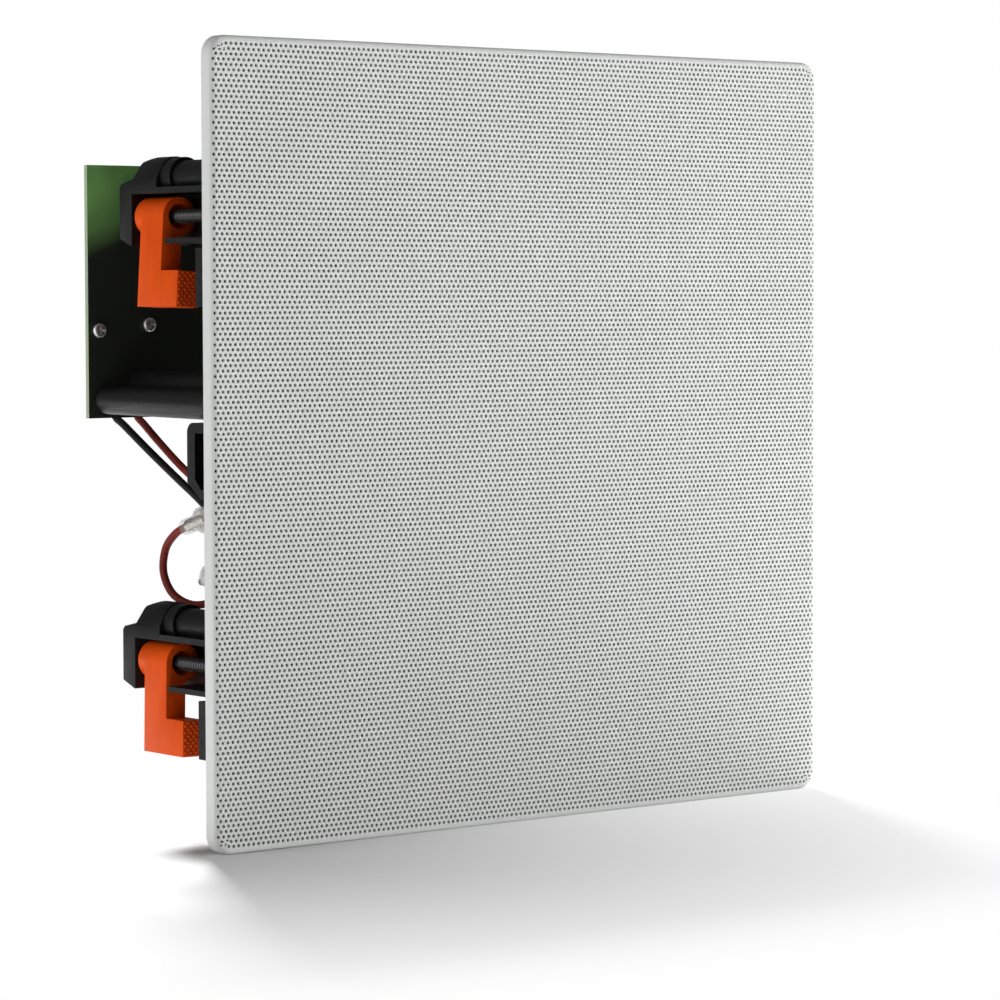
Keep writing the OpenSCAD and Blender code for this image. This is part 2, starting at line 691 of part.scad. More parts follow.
module terminal_strip() {
    color([0.3, 0.2, 0.12])
        block([strip_x, strip_y, strip_top - strip_h], [strip_x + strip_w, strip_y + strip_t, strip_top]);
    color([0.8, 0.8, 0.8]) for (p = tab_places) at_tab(p)
        block([-tab_t / 2, -1, -tab_w / 2], [tab_t / 2, tab_len, tab_w / 2]);
}

module push_on_terminals() color([0.8, 0.78, 0.7]) for (p = tab_places) at_tab(p) difference() {
    union() {
        block([-grip_t / 2, grip_front, -grip_w / 2], [grip_t / 2, grip_front + grip_len, grip_w / 2]);
        rod(grip_front + grip_len - 1, terminal_end, barrel_r);
    }
    block([-tab_t / 2, grip_front - 1, -tab_w / 2], [tab_t / 2, tab_len, tab_w / 2]);
}

module terminal_sleeves() color([0.85, 0.85, 0.85, 0.4]) for (p = tab_places) at_tab(p) turned() {
    wide = grip_w / 2 + 0.5;
    waist = grip_front + grip_len + 1;
    end = terminal_end + sleeve_tail;
    polygon([[wide, grip_front + 1], [wide, waist], [barrel_r, waist + 3], [barrel_r, end],
        [barrel_r + sleeve_wall, end], [barrel_r + sleeve_wall, waist + 3], [wide + sleeve_wall, waist],
        [wide + sleeve_wall, grip_front + 1]]);
}

function unit(v) = v / norm(v);

// Point on a smooth curve through the points p, between point i and the next one
function curve_point(p, i, t) = let (
    a = p[max(i - 1, 0)], b = p[i], c = p[i + 1], d = p[min(i + 2, len(p) - 1)])
    (2 * b + (c - a) * t + (2 * a - 5 * b + 4 * c - d) * t * t + (3 * b - a - 3 * c + d) * t * t * t) / 2;

function curve(p, steps) = concat(
    [for (i = [0:len(p) - 2], k = [0:steps - 1]) curve_point(p, i, k / steps)], [p[len(p) - 1]]);

// Round lead of 8 sides swept along a curve
module lead(p, first, last) {
    path = curve(p, lead_steps);
    n = len(path);
    ahead = [for (i = [0:n - 1]) i == 0 ? first : i == n - 1 ? last : unit(path[i + 1] - path[i - 1])];
    ring = [for (i = [0:n - 1]) let (u = unit(cross(ahead[i], [1, 0, 0])), v = cross(ahead[i], u))
        for (k = [0:7]) path[i] + lead_d / 2 * (cos(45 * k) * u + sin(45 * k) * v)];
    polyhedron(ring, concat(
        [[for (k = [7:-1:0]) k]],
        [for (i = [0:n - 2], k = [0:7]) let (a = i * 8, b = a + 8, m = (k + 1) % 8)
            [a + k, a + m, b + m, b + k]],
        [[for (k = [0:7]) (n - 1) * 8 + k]]));
}

// Direction out of a push-on terminal
function out_of(p) = [sin(p[3]) * cos(p[2]), cos(p[3]) * cos(p[2]), -sin(p[2])];

// Whole route of a lead, from its pad on the board's rear face to the end of its terminal
function whole_route(pad, route, p) = concat(
    [[pad[0], board_back, pad[1]]], route, [[p[0], strip_y + strip_t, p[1]] + out_of(p) * terminal_end]);

module red_lead() color([0.55, 0.14, 0.1])
    lead(whole_route(red_pad, red_route, tab_places[0]), [0, 1, 0], -out_of(tab_places[0]));

module black_lead() color([0.1, 0.1, 0.1])
    lead(whole_route(black_pad, black_route, tab_places[1]), [0, 1, 0], -out_of(tab_places[1]));

grille();
grille_cloth();
grille_magnets();
frame();
at_clamp(0) end_cap();  // end_cap_1
at_clamp(1) end_cap();  // end_cap_2
at_clamp(2) end_cap();  // end_cap_3
at_clamp(3) end_cap();  // end_cap_4
cap_screws();
at_clamp(0) clamp_screw();  // clamp_screw_1
at_clamp(1) clamp_screw();  // clamp_screw_2
at_clamp(2) clamp_screw();  // clamp_screw_3
at_clamp(3) clamp_screw();  // clamp_screw_4
at_clamp(0) dog_leg(hang[0]);  // dog_leg_1
at_clamp(1) dog_leg(hang[1]);  // dog_leg_2
at_clamp(2) dog_leg(hang[2]);  // dog_leg_3
at_clamp(3) dog_leg(hang[3]);  // dog_leg_4
basket();
woofer_screws();
surround();
cone();
spider();
voice_coil();
top_plate();
ring_magnet();
back_plate();
tweeter_post();
tweeter_housing();
tweeter_dome();
tweeter_ring();
board_pillars();
circuit_board();
pillar_screws();
board_screws();
inductors();
capacitors();
resistors();
terminal_block();
terminal_lever_red();
terminal_lever_black();
terminal_strip();
push_on_terminals();
terminal_sleeves();
red_lead();
black_lead();
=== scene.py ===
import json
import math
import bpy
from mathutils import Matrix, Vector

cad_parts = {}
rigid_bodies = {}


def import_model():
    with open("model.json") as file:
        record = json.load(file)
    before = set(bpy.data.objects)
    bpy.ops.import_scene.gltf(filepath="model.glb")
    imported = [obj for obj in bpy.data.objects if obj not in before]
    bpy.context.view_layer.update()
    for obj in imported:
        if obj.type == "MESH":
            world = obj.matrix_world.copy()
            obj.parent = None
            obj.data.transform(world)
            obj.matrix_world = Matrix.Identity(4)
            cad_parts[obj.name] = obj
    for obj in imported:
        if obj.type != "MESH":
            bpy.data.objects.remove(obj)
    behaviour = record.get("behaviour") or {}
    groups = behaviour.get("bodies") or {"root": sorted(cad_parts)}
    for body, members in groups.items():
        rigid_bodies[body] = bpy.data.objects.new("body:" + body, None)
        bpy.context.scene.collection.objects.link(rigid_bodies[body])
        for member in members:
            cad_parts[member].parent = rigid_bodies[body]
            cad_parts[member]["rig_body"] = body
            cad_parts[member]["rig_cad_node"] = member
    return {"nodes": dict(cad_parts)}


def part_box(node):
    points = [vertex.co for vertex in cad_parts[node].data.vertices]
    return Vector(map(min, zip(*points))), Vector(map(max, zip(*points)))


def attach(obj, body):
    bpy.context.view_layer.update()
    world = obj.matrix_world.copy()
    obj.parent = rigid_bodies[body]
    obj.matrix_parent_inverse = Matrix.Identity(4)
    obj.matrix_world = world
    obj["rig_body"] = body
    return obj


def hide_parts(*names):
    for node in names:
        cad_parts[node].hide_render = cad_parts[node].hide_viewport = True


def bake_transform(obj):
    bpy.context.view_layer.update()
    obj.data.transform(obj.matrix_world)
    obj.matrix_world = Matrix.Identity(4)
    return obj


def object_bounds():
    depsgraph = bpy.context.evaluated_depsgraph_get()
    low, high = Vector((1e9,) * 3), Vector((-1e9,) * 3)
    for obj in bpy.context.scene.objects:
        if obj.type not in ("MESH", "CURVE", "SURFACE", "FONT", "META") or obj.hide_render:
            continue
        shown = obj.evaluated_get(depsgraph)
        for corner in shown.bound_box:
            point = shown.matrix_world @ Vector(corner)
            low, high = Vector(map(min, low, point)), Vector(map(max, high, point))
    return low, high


bl_info = {
    "name": "Ceiling Speaker Finish",
    "version": (1, 0, 0),
    "blender": (4, 5, 0),
    "location": "View3D > Sidebar > Speaker",
    "description": "Dresses a packed in-ceiling loudspeaker: grille, clamps, leads, board and finishes",
    "category": "Object",
}

import bpy
import numpy as np
from bpy.props import FloatProperty, FloatVectorProperty, IntProperty, PointerProperty
from mathutils import Matrix, Vector

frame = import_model()
MODEL_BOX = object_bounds()
NODES = frame["nodes"]
MM = 0.001


class GrilleSettings(bpy.types.PropertyGroup):
    hole_pitch: FloatProperty(
        name="Hole Pitch", description="Distance between holes of a row", default=1.70 * MM, unit="LENGTH")
    hole_size: FloatProperty(
        name="Hole Size", description="Diameter of a hole", default=1.04 * MM, unit="LENGTH")
    columns: IntProperty(
        name="Columns", description="Holes in a long row", default=135, min=3)
    rows: IntProperty(
        name="Rows", description="Rows of holes", default=154, min=3)
    sheet: FloatProperty(
        name="Sheet", description="Thickness of the sheet", default=0.8 * MM, unit="LENGTH")
    fold: FloatProperty(
        name="Fold", description="Outside radius of the fold", default=1.5 * MM, unit="LENGTH")
    corner: FloatProperty(
        name="Corner", description="Outside radius of the corners", default=5.5 * MM, unit="LENGTH")
    side_margin: FloatProperty(
        name="Side Margin", description="Plain sheet beside the end holes of a long row",
        default=0.34 * MM, unit="LENGTH")
    end_margin: FloatProperty(
        name="End Margin", description="Plain sheet past the first and last rows",
        default=0.30 * MM, unit="LENGTH")


class ClampSettings(bpy.types.PropertyGroup):
    screw_radius: FloatProperty(
        name="Screw Radius", description="Radius over the thread", default=2.1 * MM, unit="LENGTH")
    thread_start: FloatProperty(
        name="Thread Start", description="Distance from the head's face to the thread",
        default=2.8 * MM, unit="LENGTH")
    thread_pitch: FloatProperty(
        name="Thread Pitch", description="Advance of the screw's thread", default=1.25 * MM, unit="LENGTH")
    thread_depth: FloatProperty(
        name="Thread Depth", description="Depth of the thread's groove", default=0.45 * MM, unit="LENGTH")
    knurl_pitch: FloatProperty(
        name="Knurl Pitch", description="Spacing of the points on a foot", default=1.95 * MM, unit="LENGTH")
    knurl_depth: FloatProperty(
        name="Knurl Depth", description="Height of the points on a foot", default=0.5 * MM, unit="LENGTH")
    edge: FloatProperty(
        name="Edge", description="Radius of the moulded edges", default=0.5 * MM, unit="LENGTH")


class LeadSettings(bpy.types.PropertyGroup):
    diameter: FloatProperty(
        name="Diameter", description="Outside diameter of a lead", default=2.4 * MM, unit="LENGTH")
    steps: IntProperty(
        name="Steps", description="Curve points between two route points", default=8, min=2)


class BoardSettings(bpy.types.PropertyGroup):
    head_radius: FloatProperty(
        name="Head Radius", description="Radius of a screw's head", default=2.2 * MM, unit="LENGTH")
    head_rounding: FloatProperty(
        name="Head Rounding", description="Rounding of the head's rim", default=0.75 * MM, unit="LENGTH")
    shank_radius: FloatProperty(
        name="Shank Radius", description="Radius of a screw's shank", default=1.4 * MM, unit="LENGTH")
    cross_length: FloatProperty(
        name="Cross Length", description="Length of the cross's arms", default=2.9 * MM, unit="LENGTH")
    cross_width: FloatProperty(
        name="Cross Width", description="Width of the cross's arms", default=0.62 * MM, unit="LENGTH")
    cross_depth: FloatProperty(
        name="Cross Depth", description="Depth of the tool that cuts the cross",
        default=1.6 * MM, unit="LENGTH")
    crimp_radius: FloatProperty(
        name="Crimp Radius", description="Radius of a crimp ring's middle line",
        default=1.74 * MM, unit="LENGTH")
    crimp_wire: FloatProperty(
        name="Crimp Wire", description="Half the thickness of a crimp ring", default=0.26 * MM, unit="LENGTH")


class FinishSettings(bpy.types.PropertyGroup):
    paint: FloatVectorProperty(
        name="Grille Paint", description="Paint of the grille", subtype="COLOR", default=(0.80, 0.812, 0.80))
    plastic: FloatVectorProperty(
        name="Black Plastic", description="Frame, caps and pillars", subtype="COLOR",
        default=(0.0075, 0.0078, 0.008))
    orange: FloatVectorProperty(
        name="Clamp Orange", description="Plastic of the dog-legs", subtype="COLOR",
        default=(0.88, 0.095, 0.004))
    mask: FloatVectorProperty(
        name="Solder Mask", description="Green of the crossover board", subtype="COLOR",
        default=(0.27, 0.585, 0.175))


class StageSettings(bpy.types.PropertyGroup):
    lens: FloatProperty(
        name="Lens", description="Focal length on a 36 mm sensor", default=135.07)
    key: FloatProperty(
        name="Key Light", description="Power of the light behind the speaker", default=52.0)
    fill: FloatProperty(
        name="Front Light", description="Power of the soft light at the right front", default=16.5)
    side: FloatProperty(
        name="Side Light", description="Power of the broad light at the left", default=10.5)


GROUPS = {
    "speaker_grille": GrilleSettings,
    "speaker_clamps": ClampSettings,
    "speaker_leads": LeadSettings,
    "speaker_board": BoardSettings,
    "speaker_finish": FinishSettings,
    "speaker_stage": StageSettings,
}


# Mesh helpers

def deselect():
    if bpy.context.object and bpy.context.object.mode != "OBJECT":
        bpy.ops.object.mode_set(mode="OBJECT")
    bpy.ops.object.select_all(action="DESELECT")


def activate(piece):
    deselect()
    piece.select_set(True)
    bpy.context.view_layer.objects.active = piece


def settle(piece):
    """Moves the piece's place, turn and scale into its mesh."""
    activate(piece)
    bpy.ops.object.transform_apply(location=True, rotation=True, scale=True)


def named(name):
    piece = bpy.context.object
    piece.name = name
    piece.data.name = name
    return piece


def apply_modifiers(piece):
    activate(piece)
    for modifier in list(piece.modifiers):
        bpy.ops.object.modifier_apply(modifier=modifier.name)


def shade(piece, degrees=35):
    activate(piece)
    bpy.ops.object.shade_smooth_by_angle(angle=math.radians(degrees))


def select_faces(piece, test):
    """Selects the faces for which test(centre, normal) is true, in edit mode."""
    bpy.ops.object.mode_set(mode="EDIT")
    bpy.ops.mesh.select_mode(type="FACE")
    bpy.ops.mesh.select_all(action="DESELECT")
    bpy.ops.object.mode_set(mode="OBJECT")
    for face in piece.data.polygons:
        face.select = test(face.center, face.normal)
    bpy.ops.object.mode_set(mode="EDIT")


def tidy_copy(cad_node, name):
    """A merged copy of a CAD node's mesh, with flat areas as single faces."""
    piece = NODES[cad_node].copy()
    piece.data = NODES[cad_node].data.copy()
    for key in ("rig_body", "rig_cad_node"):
        del piece[key]
    piece.parent = None
    piece.name = name
    piece.data.name = name
    piece.data.materials.clear()
    bpy.context.scene.collection.objects.link(piece)
    activate(piece)
    bpy.ops.object.mode_set(mode="EDIT")
    bpy.ops.mesh.select_all(action="SELECT")
    bpy.ops.mesh.remove_doubles(threshold=0.000005)
    bpy.ops.mesh.customdata_custom_splitnormals_clear()
    bpy.ops.mesh.dissolve_limited(angle_limit=math.radians(0.5))
    bpy.ops.object.mode_set(mode="OBJECT")
    return piece


def soften(cad_node, width, segments):
    """A copy of a moulded CAD node whose edges are rounded. It stands for the node."""
    piece = tidy_copy(cad_node, cad_node + "_moulding")
    bevel = piece.modifiers.new("edge", "BEVEL")
    bevel.width = width
    bevel.segments = segments
    bevel.limit_method = "ANGLE"
    bevel.angle_limit = math.radians(40)
    bevel.use_clamp_overlap = True
    apply_modifiers(piece)
    shade(piece, 30)
    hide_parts(cad_node)
    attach(piece, NODES[cad_node]["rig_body"])
    return piece


# Material helpers

def new_material(name, colour, roughness, metallic=0.0):
    material = bpy.data.materials.new(name + "_finish")
    material.use_nodes = True
    shader = material.node_tree.nodes["Principled BSDF"]
    shader.inputs["Base Color"].default_value = (*colour, 1)
    shader.inputs["Roughness"].default_value = roughness
    shader.inputs["Metallic"].default_value = metallic
    shader.inputs["Specular IOR Level"].default_value = 0.5 if metallic else 0.22
    return material, material.node_tree, shader


def node(tree, kind, **inputs):
    made = tree.nodes.new(kind)
    for key, value in inputs.items():
        made.inputs[key.replace("_", " ")].default_value = value
    return made


def object_points(tree, scale=(1, 1, 1), turn=(0, 0, 0), place=(0, 0, 0)):
    where = tree.nodes.new("ShaderNodeTexCoord")
    mapping = node(tree, "ShaderNodeMapping", Scale=scale, Rotation=turn, Location=place)
    tree.links.new(where.outputs["Object"], mapping.inputs["Vector"])
    return mapping.outputs["Vector"]


def noise(tree, points, scale, detail=3.0, roughness=0.55):
    made = node(tree, "ShaderNodeTexNoise", Scale=scale, Detail=detail, Roughness=roughness)
    tree.links.new(points, made.inputs["Vector"])
    return made.outputs["Fac"]


def ramp(tree, factor, stops):
    made = tree.nodes.new("ShaderNodeValToRGB")
    marks = made.color_ramp.elements
    while len(marks) < len(stops):
        marks.new(0.5)
    for mark, (place, colour) in zip(marks, stops):
        mark.position = place
        mark.color = (*colour, 1) if hasattr(colour, "__len__") else (colour, colour, colour, 1)
    tree.links.new(factor, made.inputs["Fac"])
    return made.outputs["Color"]


def mix(tree, factor, first, second, mode="MIX"):
    made = tree.nodes.new("ShaderNodeMix")
    made.data_type = "RGBA"
    made.blend_type = mode
    for socket, value in ((made.inputs["Factor"], factor), (made.inputs[6], first), (made.inputs[7], second)):
        if isinstance(value, bpy.types.NodeSocket):
            tree.links.new(value, socket)
        elif hasattr(value, "__len__"):
            socket.default_value = (*value, 1)
        else:
            socket.default_value = value
    return made.outputs[2]


def bump(tree, shader, height, strength, distance):
    made = node(tree, "ShaderNodeBump", Strength=strength, Distance=distance)
    tree.links.new(height, made.inputs["Height"])
    tree.links.new(made.outputs["Normal"], shader.inputs["Normal"])


def tinted(colour, factor):
    return tuple(min(1.0, c * factor) for c in colour)


def grained(name, colour, roughness, grain, strength, metallic=0.0, variation=0.12, spread=0.1):
    """A finish with a fine grain, a slow drift of its colour and an uneven gloss."""
    material, tree, shader = new_material(name, colour, roughness, metallic)
    points = object_points(tree)
    fine = noise(tree, points, 1 / grain, 2.0)
    broad = noise(tree, points, 55.0, 4.0)
    tree.links.new(
        ramp(tree, broad, [(0.3, tinted(colour, 1 - variation)), (0.7, tinted(colour, 1 + variation))]),
        shader.inputs["Base Color"])
    tree.links.new(
        ramp(tree, noise(tree, points, 210.0, 5.0), [(0.3, roughness - spread), (0.7, roughness + spread)]),
        shader.inputs["Roughness"])
    bump(tree, shader, fine, strength, grain * 0.3)
    return material


def grille_paint():
    """White powder coat with a faint orange peel."""
    colour = bpy.context.scene.speaker_finish.paint
    return grained("grille_paint", tuple(colour), 0.5, 0.35 * MM, 0.12, variation=0.012, spread=0.05)


def woven(name, colour, roughness, pitch, lift):
    """A plain weave seen from the front, with rounded threads over and under, painted darker in the dips
    between threads and lighter on their crowns.
    """
    material, tree, shader = new_material(name, colour, roughness)
    points = object_points(tree)
    across, along = (tree.nodes.new("ShaderNodeTexWave") for _ in range(2))
    for wave, axis in ((across, "X"), (along, "Z")):
        wave.bands_direction = axis
        wave.inputs["Scale"].default_value = 0.314 / pitch
        tree.links.new(points, wave.inputs["Vector"])
    threads = mix(tree, 1.0, across.outputs["Color"], along.outputs["Color"], "LIGHTEN")
    # Painted shade in the dips between the threads and painted light on their crowns
    tree.links.new(
        ramp(tree, threads, [(0.1, tinted(colour, 0.35)), (0.8, tinted(colour, 1.25))]),
        shader.inputs["Base Color"])
    bump(tree, shader, threads, 0.6, lift)
    return material


def frame_plastic():
    """Black moulded plastic with spark-eroded texture."""
    colour = tuple(bpy.context.scene.speaker_finish.plastic)
    return grained("frame_plastic", colour, 0.48, 0.5 * MM, 0.35, variation=0.25)


def cap_plastic():
    """Glass-filled black plastic, a little rubbed along its length."""
    colour = tuple(bpy.context.scene.speaker_finish.plastic)
    material, tree, shader = new_material("cap_plastic", colour, 0.42)
    streaks = noise(tree, object_points(tree, scale=(400, 60, 900)), 1.0, 6.0, 0.7)
    fine = noise(tree, object_points(tree), 2600.0, 2.0)
    tree.links.new(
        ramp(tree, streaks,
             [(0.35, tinted(colour, 0.8)), (0.62, tinted(colour, 1.1)), (0.8, tinted(colour, 2.2))]),
        shader.inputs["Base Color"])
    tree.links.new(ramp(tree, streaks, [(0.3, 0.34), (0.8, 0.58)]), shader.inputs["Roughness"])
    bump(tree, shader, fine, 0.3, 0.06 * MM)
    return material


def clamp_plastic():
    """Orange plastic with faint flow lines and a soft sheen."""
    colour = tuple(bpy.context.scene.speaker_finish.orange)
    material, tree, shader = new_material("clamp_plastic", colour, 0.36)
    flow = noise(tree, object_points(tree, scale=(1, 1, 0.35)), 130.0, 4.0)
    fine = noise(tree, object_points(tree), 1800.0, 2.0)
    tree.links.new(
        ramp(tree, flow, [(0.3, tinted(colour, 0.86)), (0.75, tinted(colour, 1.08))]),
        shader.inputs["Base Color"])
    tree.links.new(ramp(tree, flow, [(0.3, 0.30), (0.7, 0.44)]), shader.inputs["Roughness"])
    shader.inputs["Specular IOR Level"].default_value = 0.12
    bump(tree, shader, fine, 0.12, 0.05 * MM)
    return material


def steel(name, colour, roughness, scratch=0.2):
    """Metal with fine turning marks and a varied gloss."""
    material, tree, shader = new_material(name, colour, roughness, 1.0)
    marks = noise(tree, object_points(tree, scale=(900, 5200, 900)), 1.0, 3.0, 0.6)
    broad = noise(tree, object_points(tree), 120.0, 4.0)
    tree.links.new(
        ramp(tree, broad, [(0.3, tinted(colour, 0.85)), (0.7, tinted(colour, 1.1))]),
        shader.inputs["Base Color"])
    tree.links.new(
        ramp(tree, marks, [(0.3, max(0.05, roughness - 0.08)), (0.7, roughness + 0.12)]),
        shader.inputs["Roughness"])
    bump(tree, shader, marks, scratch, 0.02 * MM)
    return material


def thread_steel():
    """Blackened steel, with a painted highlight along the thread's crest and painted shade in its groove."""
    material, tree, shader = new_material("thread_steel", (0.05, 0.05, 0.053), 0.35, 0.6)
    crest = tree.nodes.new("ShaderNodeAttribute")
    crest.attribute_name = "crest"
    marks = noise(tree, object_points(tree), 700.0, 3.0)
    # Painted highlight on the crest and painted shade in the groove, read from the thread's crest mark
    painted_crest_light_and_groove_shade = ramp(tree, crest.outputs["Fac"], [(0.25, 0.004), (0.9, 0.15)])
    tree.links.new(mix(tree, 0.25, painted_crest_light_and_groove_shade, marks, "MULTIPLY"), shader.inputs["Base Color"])
    tree.links.new(ramp(tree, marks, [(0.3, 0.28), (0.7, 0.45)]), shader.inputs["Roughness"])
    return material


def wound_copper():
    """Enamelled wire wound in layers about the Y axis, with painted shade in the grooves between the turns.
    """
    material, tree, shader = new_material("copper_wire", (0.55, 0.20, 0.075), 0.28, 1.0)
    wave = tree.nodes.new("ShaderNodeTexWave")
    wave.bands_direction = "Y"
    wave.inputs["Scale"].default_value = 0.314 / (0.7 * MM)
    wave.inputs["Distortion"].default_value = 0.6
    tree.links.new(object_points(tree), wave.inputs["Vector"])
    # Painted shade: near black in the grooves between the turns
    tree.links.new(
        ramp(tree, wave.outputs["Fac"], [(0.05, (0.12, 0.035, 0.012)), (0.6, (0.62, 0.24, 0.09))]),
        shader.inputs["Base Color"])
    bump(tree, shader, wave.outputs["Fac"], 0.8, 0.2 * MM)
    return material


# The board's painted shade and dark reflection of the driver: its slope in degrees, the height it spans
# and its waviness in metres, and how green the board is from the foot of that height (0) to its top (1)
PAINTED_SHADE_SLOPE = 25.6
PAINTED_SHADE_HEIGHT = 0.120
PAINTED_SHADE_WAVE = 0.012
BOARD_PAINTED_SHADE = [(0.30, 0.0), (0.80, 0.0), (0.86, 0.5), (0.95, 1.0)]


def board_green():
    """Solder mask: green at its top outer corner, near black below a soft curve where shade and the driver's
    dark reflection are painted, pale at the cut edge.
    """
    colour = tuple(bpy.context.scene.speaker_finish.mask)
    material, tree, shader = new_material("board_green", colour, 0.32)
    points = object_points(tree)
    drift = noise(tree, points, 45.0, 3.0)
    green = ramp(tree, drift, [(0.3, tinted(colour, 0.8)), (0.7, tinted(colour, 1.25))])
    warp = noise(tree, points, 28.0, 2.0)
    slope = object_points(tree, turn=(0, math.radians(PAINTED_SHADE_SLOPE), 0))
    parts = tree.nodes.new("ShaderNodeSeparateXYZ")
    tree.links.new(slope, parts.inputs[0])
    wavy = node(tree, "ShaderNodeMath")
    wavy.operation = "MULTIPLY_ADD"
    wavy.inputs[1].default_value = PAINTED_SHADE_WAVE
    tree.links.new(warp, wavy.inputs[0])
    tree.links.new(parts.outputs["Z"], wavy.inputs[2])
    height = node(tree, "ShaderNodeMapRange")
    height.inputs["From Min"].default_value = 0.0
    height.inputs["From Max"].default_value = PAINTED_SHADE_HEIGHT
    tree.links.new(wavy.outputs[0], height.inputs["Value"])
    # Painted shade and dark reflection: near black below the soft sloping curve, green above it
    shaded = ramp(tree, height.outputs[0], BOARD_PAINTED_SHADE)
    face = mix(tree, shaded, (0.030, 0.036, 0.028), green)
    side = tree.nodes.new("ShaderNodeSeparateXYZ")
    tree.links.new(points, side.inputs[0])
    edge = node(tree, "ShaderNodeMath")
    edge.operation = "LESS_THAN"
    edge.inputs[1].default_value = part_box("circuit_board")[0].x + 0.05 * MM
    tree.links.new(side.outputs["X"], edge.inputs[0])
    tree.links.new(mix(tree, edge.outputs[0], face, (0.42, 0.52, 0.36)), shader.inputs["Base Color"])
    bump(tree, shader, noise(tree, points, 900.0, 2.0), 0.08, 0.05 * MM)
    return material


def clear_sleeve():
    """Thin clear vinyl: seen through from the front, milky and glossy where it turns away."""
    material, tree, shader = new_material("clear_sleeve", (0.55, 0.55, 0.54), 0.1)
    cloudy = noise(tree, object_points(tree), 220.0, 3.0)
    tree.links.new(ramp(tree, cloudy, [(0.3, 0.10), (0.7, 0.20)]), shader.inputs["Roughness"])
    clear = node(tree, "ShaderNodeBsdfTransparent", Color=(0.95, 0.95, 0.95, 1))
    turned = node(tree, "ShaderNodeLayerWeight", Blend=0.35)
    cover = ramp(tree, turned.outputs["Facing"], [(0.05, 0.04), (0.95, 0.38)])
    blend = tree.nodes.new("ShaderNodeMixShader")
    tree.links.new(cover, blend.inputs["Fac"])
    tree.links.new(clear.outputs[0], blend.inputs[1])
    tree.links.new(shader.outputs[0], blend.inputs[2])
    tree.links.new(blend.outputs[0], tree.nodes["Material Output"].inputs["Surface"])
    return material


def vinyl(name, colour):
    """Insulation of a lead, with a slight sheen and rubbed spots."""
    return grained(name, colour, 0.55, 0.9 * MM, 0.15, variation=0.2, spread=0.08)


def cone_paper():
    """Pressed pulp with fibres."""
    colour = (0.008, 0.008, 0.009)
    material, tree, shader = new_material("cone_paper", colour, 0.7)
    fibres = noise(tree, object_points(tree), 700.0, 8.0, 0.75)
    tree.links.new(
        ramp(tree, fibres, [(0.35, tinted(colour, 0.6)), (0.75, tinted(colour, 1.9))]),
        shader.inputs["Base Color"])
    bump(tree, shader, fibres, 0.5, 0.25 * MM)
    return material


MATERIALS = {
    "grille_paint": grille_paint,
    "cloth": lambda: woven("cloth", (0.012, 0.012, 0.013), 0.9, 0.5 * MM, 0.1 * MM),
    "magnet_plating": lambda: grained("magnet_plating", (0.012, 0.012, 0.012), 0.5, 0.5 * MM, 0.1),
    "frame_plastic": frame_plastic,
    "cap_plastic": cap_plastic,
    "black_steel": lambda: steel("black_steel", (0.045, 0.045, 0.048), 0.32),
    "thread_steel": thread_steel,
    "clamp_plastic": clamp_plastic,
    "basket_paint": lambda: grained("basket_paint", (0.008, 0.008, 0.008), 0.38, 0.4 * MM, 0.15),
    "surround_rubber": lambda: grained("surround_rubber", (0.018, 0.018, 0.018), 0.55, 0.6 * MM, 0.2),
    "cone_paper": cone_paper,
    "spider_cloth": lambda: woven("spider_cloth", (0.5, 0.36, 0.13), 0.8, 0.7 * MM, 0.15 * MM),
    "coil_former": wound_copper,
    "motor_steel": lambda: steel("motor_steel", (0.3, 0.3, 0.305), 0.36, 0.15),
    "ferrite": lambda: grained("ferrite", (0.035, 0.035, 0.038), 0.6, 0.5 * MM, 0.5, variation=0.3),
    "tweeter_plastic": lambda: grained("tweeter_plastic", (0.02, 0.02, 0.02), 0.45, 0.4 * MM, 0.25),
    "dome_metal": lambda: steel("dome_metal", (0.6, 0.6, 0.62), 0.22, 0.1),
    "board_green": board_green,
    "bright_steel": lambda: steel("bright_steel", (0.92, 0.92, 0.92), 0.42, 0.05),
    "copper_wire": wound_copper,
    "capacitor_sleeve": lambda: grained("capacitor_sleeve", (0.012, 0.012, 0.013), 0.25, 0.8 * MM, 0.1),
    "resistor_ceramic": lambda: grained("resistor_ceramic", (0.62, 0.6, 0.55), 0.75, 0.4 * MM, 0.4),
    "terminal_plastic": lambda: grained("terminal_plastic", (0.02, 0.02, 0.021), 0.4, 0.4 * MM, 0.2),
    "lever_red": lambda: grained("lever_red", (0.5, 0.015, 0.012), 0.35, 0.5 * MM, 0.15),
    "strip_board": lambda: grained("strip_board", (0.16, 0.08, 0.035), 0.6, 0.5 * MM, 0.3, variation=0.25),
    "tinned_brass": lambda: steel("tinned_brass", (0.68, 0.66, 0.6), 0.24, 0.04),
    "clear_sleeve": clear_sleeve,
    "lead_red": lambda: vinyl("lead_red", (0.21, 0.022, 0.014)),
    "lead_black": lambda: vinyl("lead_black", (0.008, 0.008, 0.008)),
}

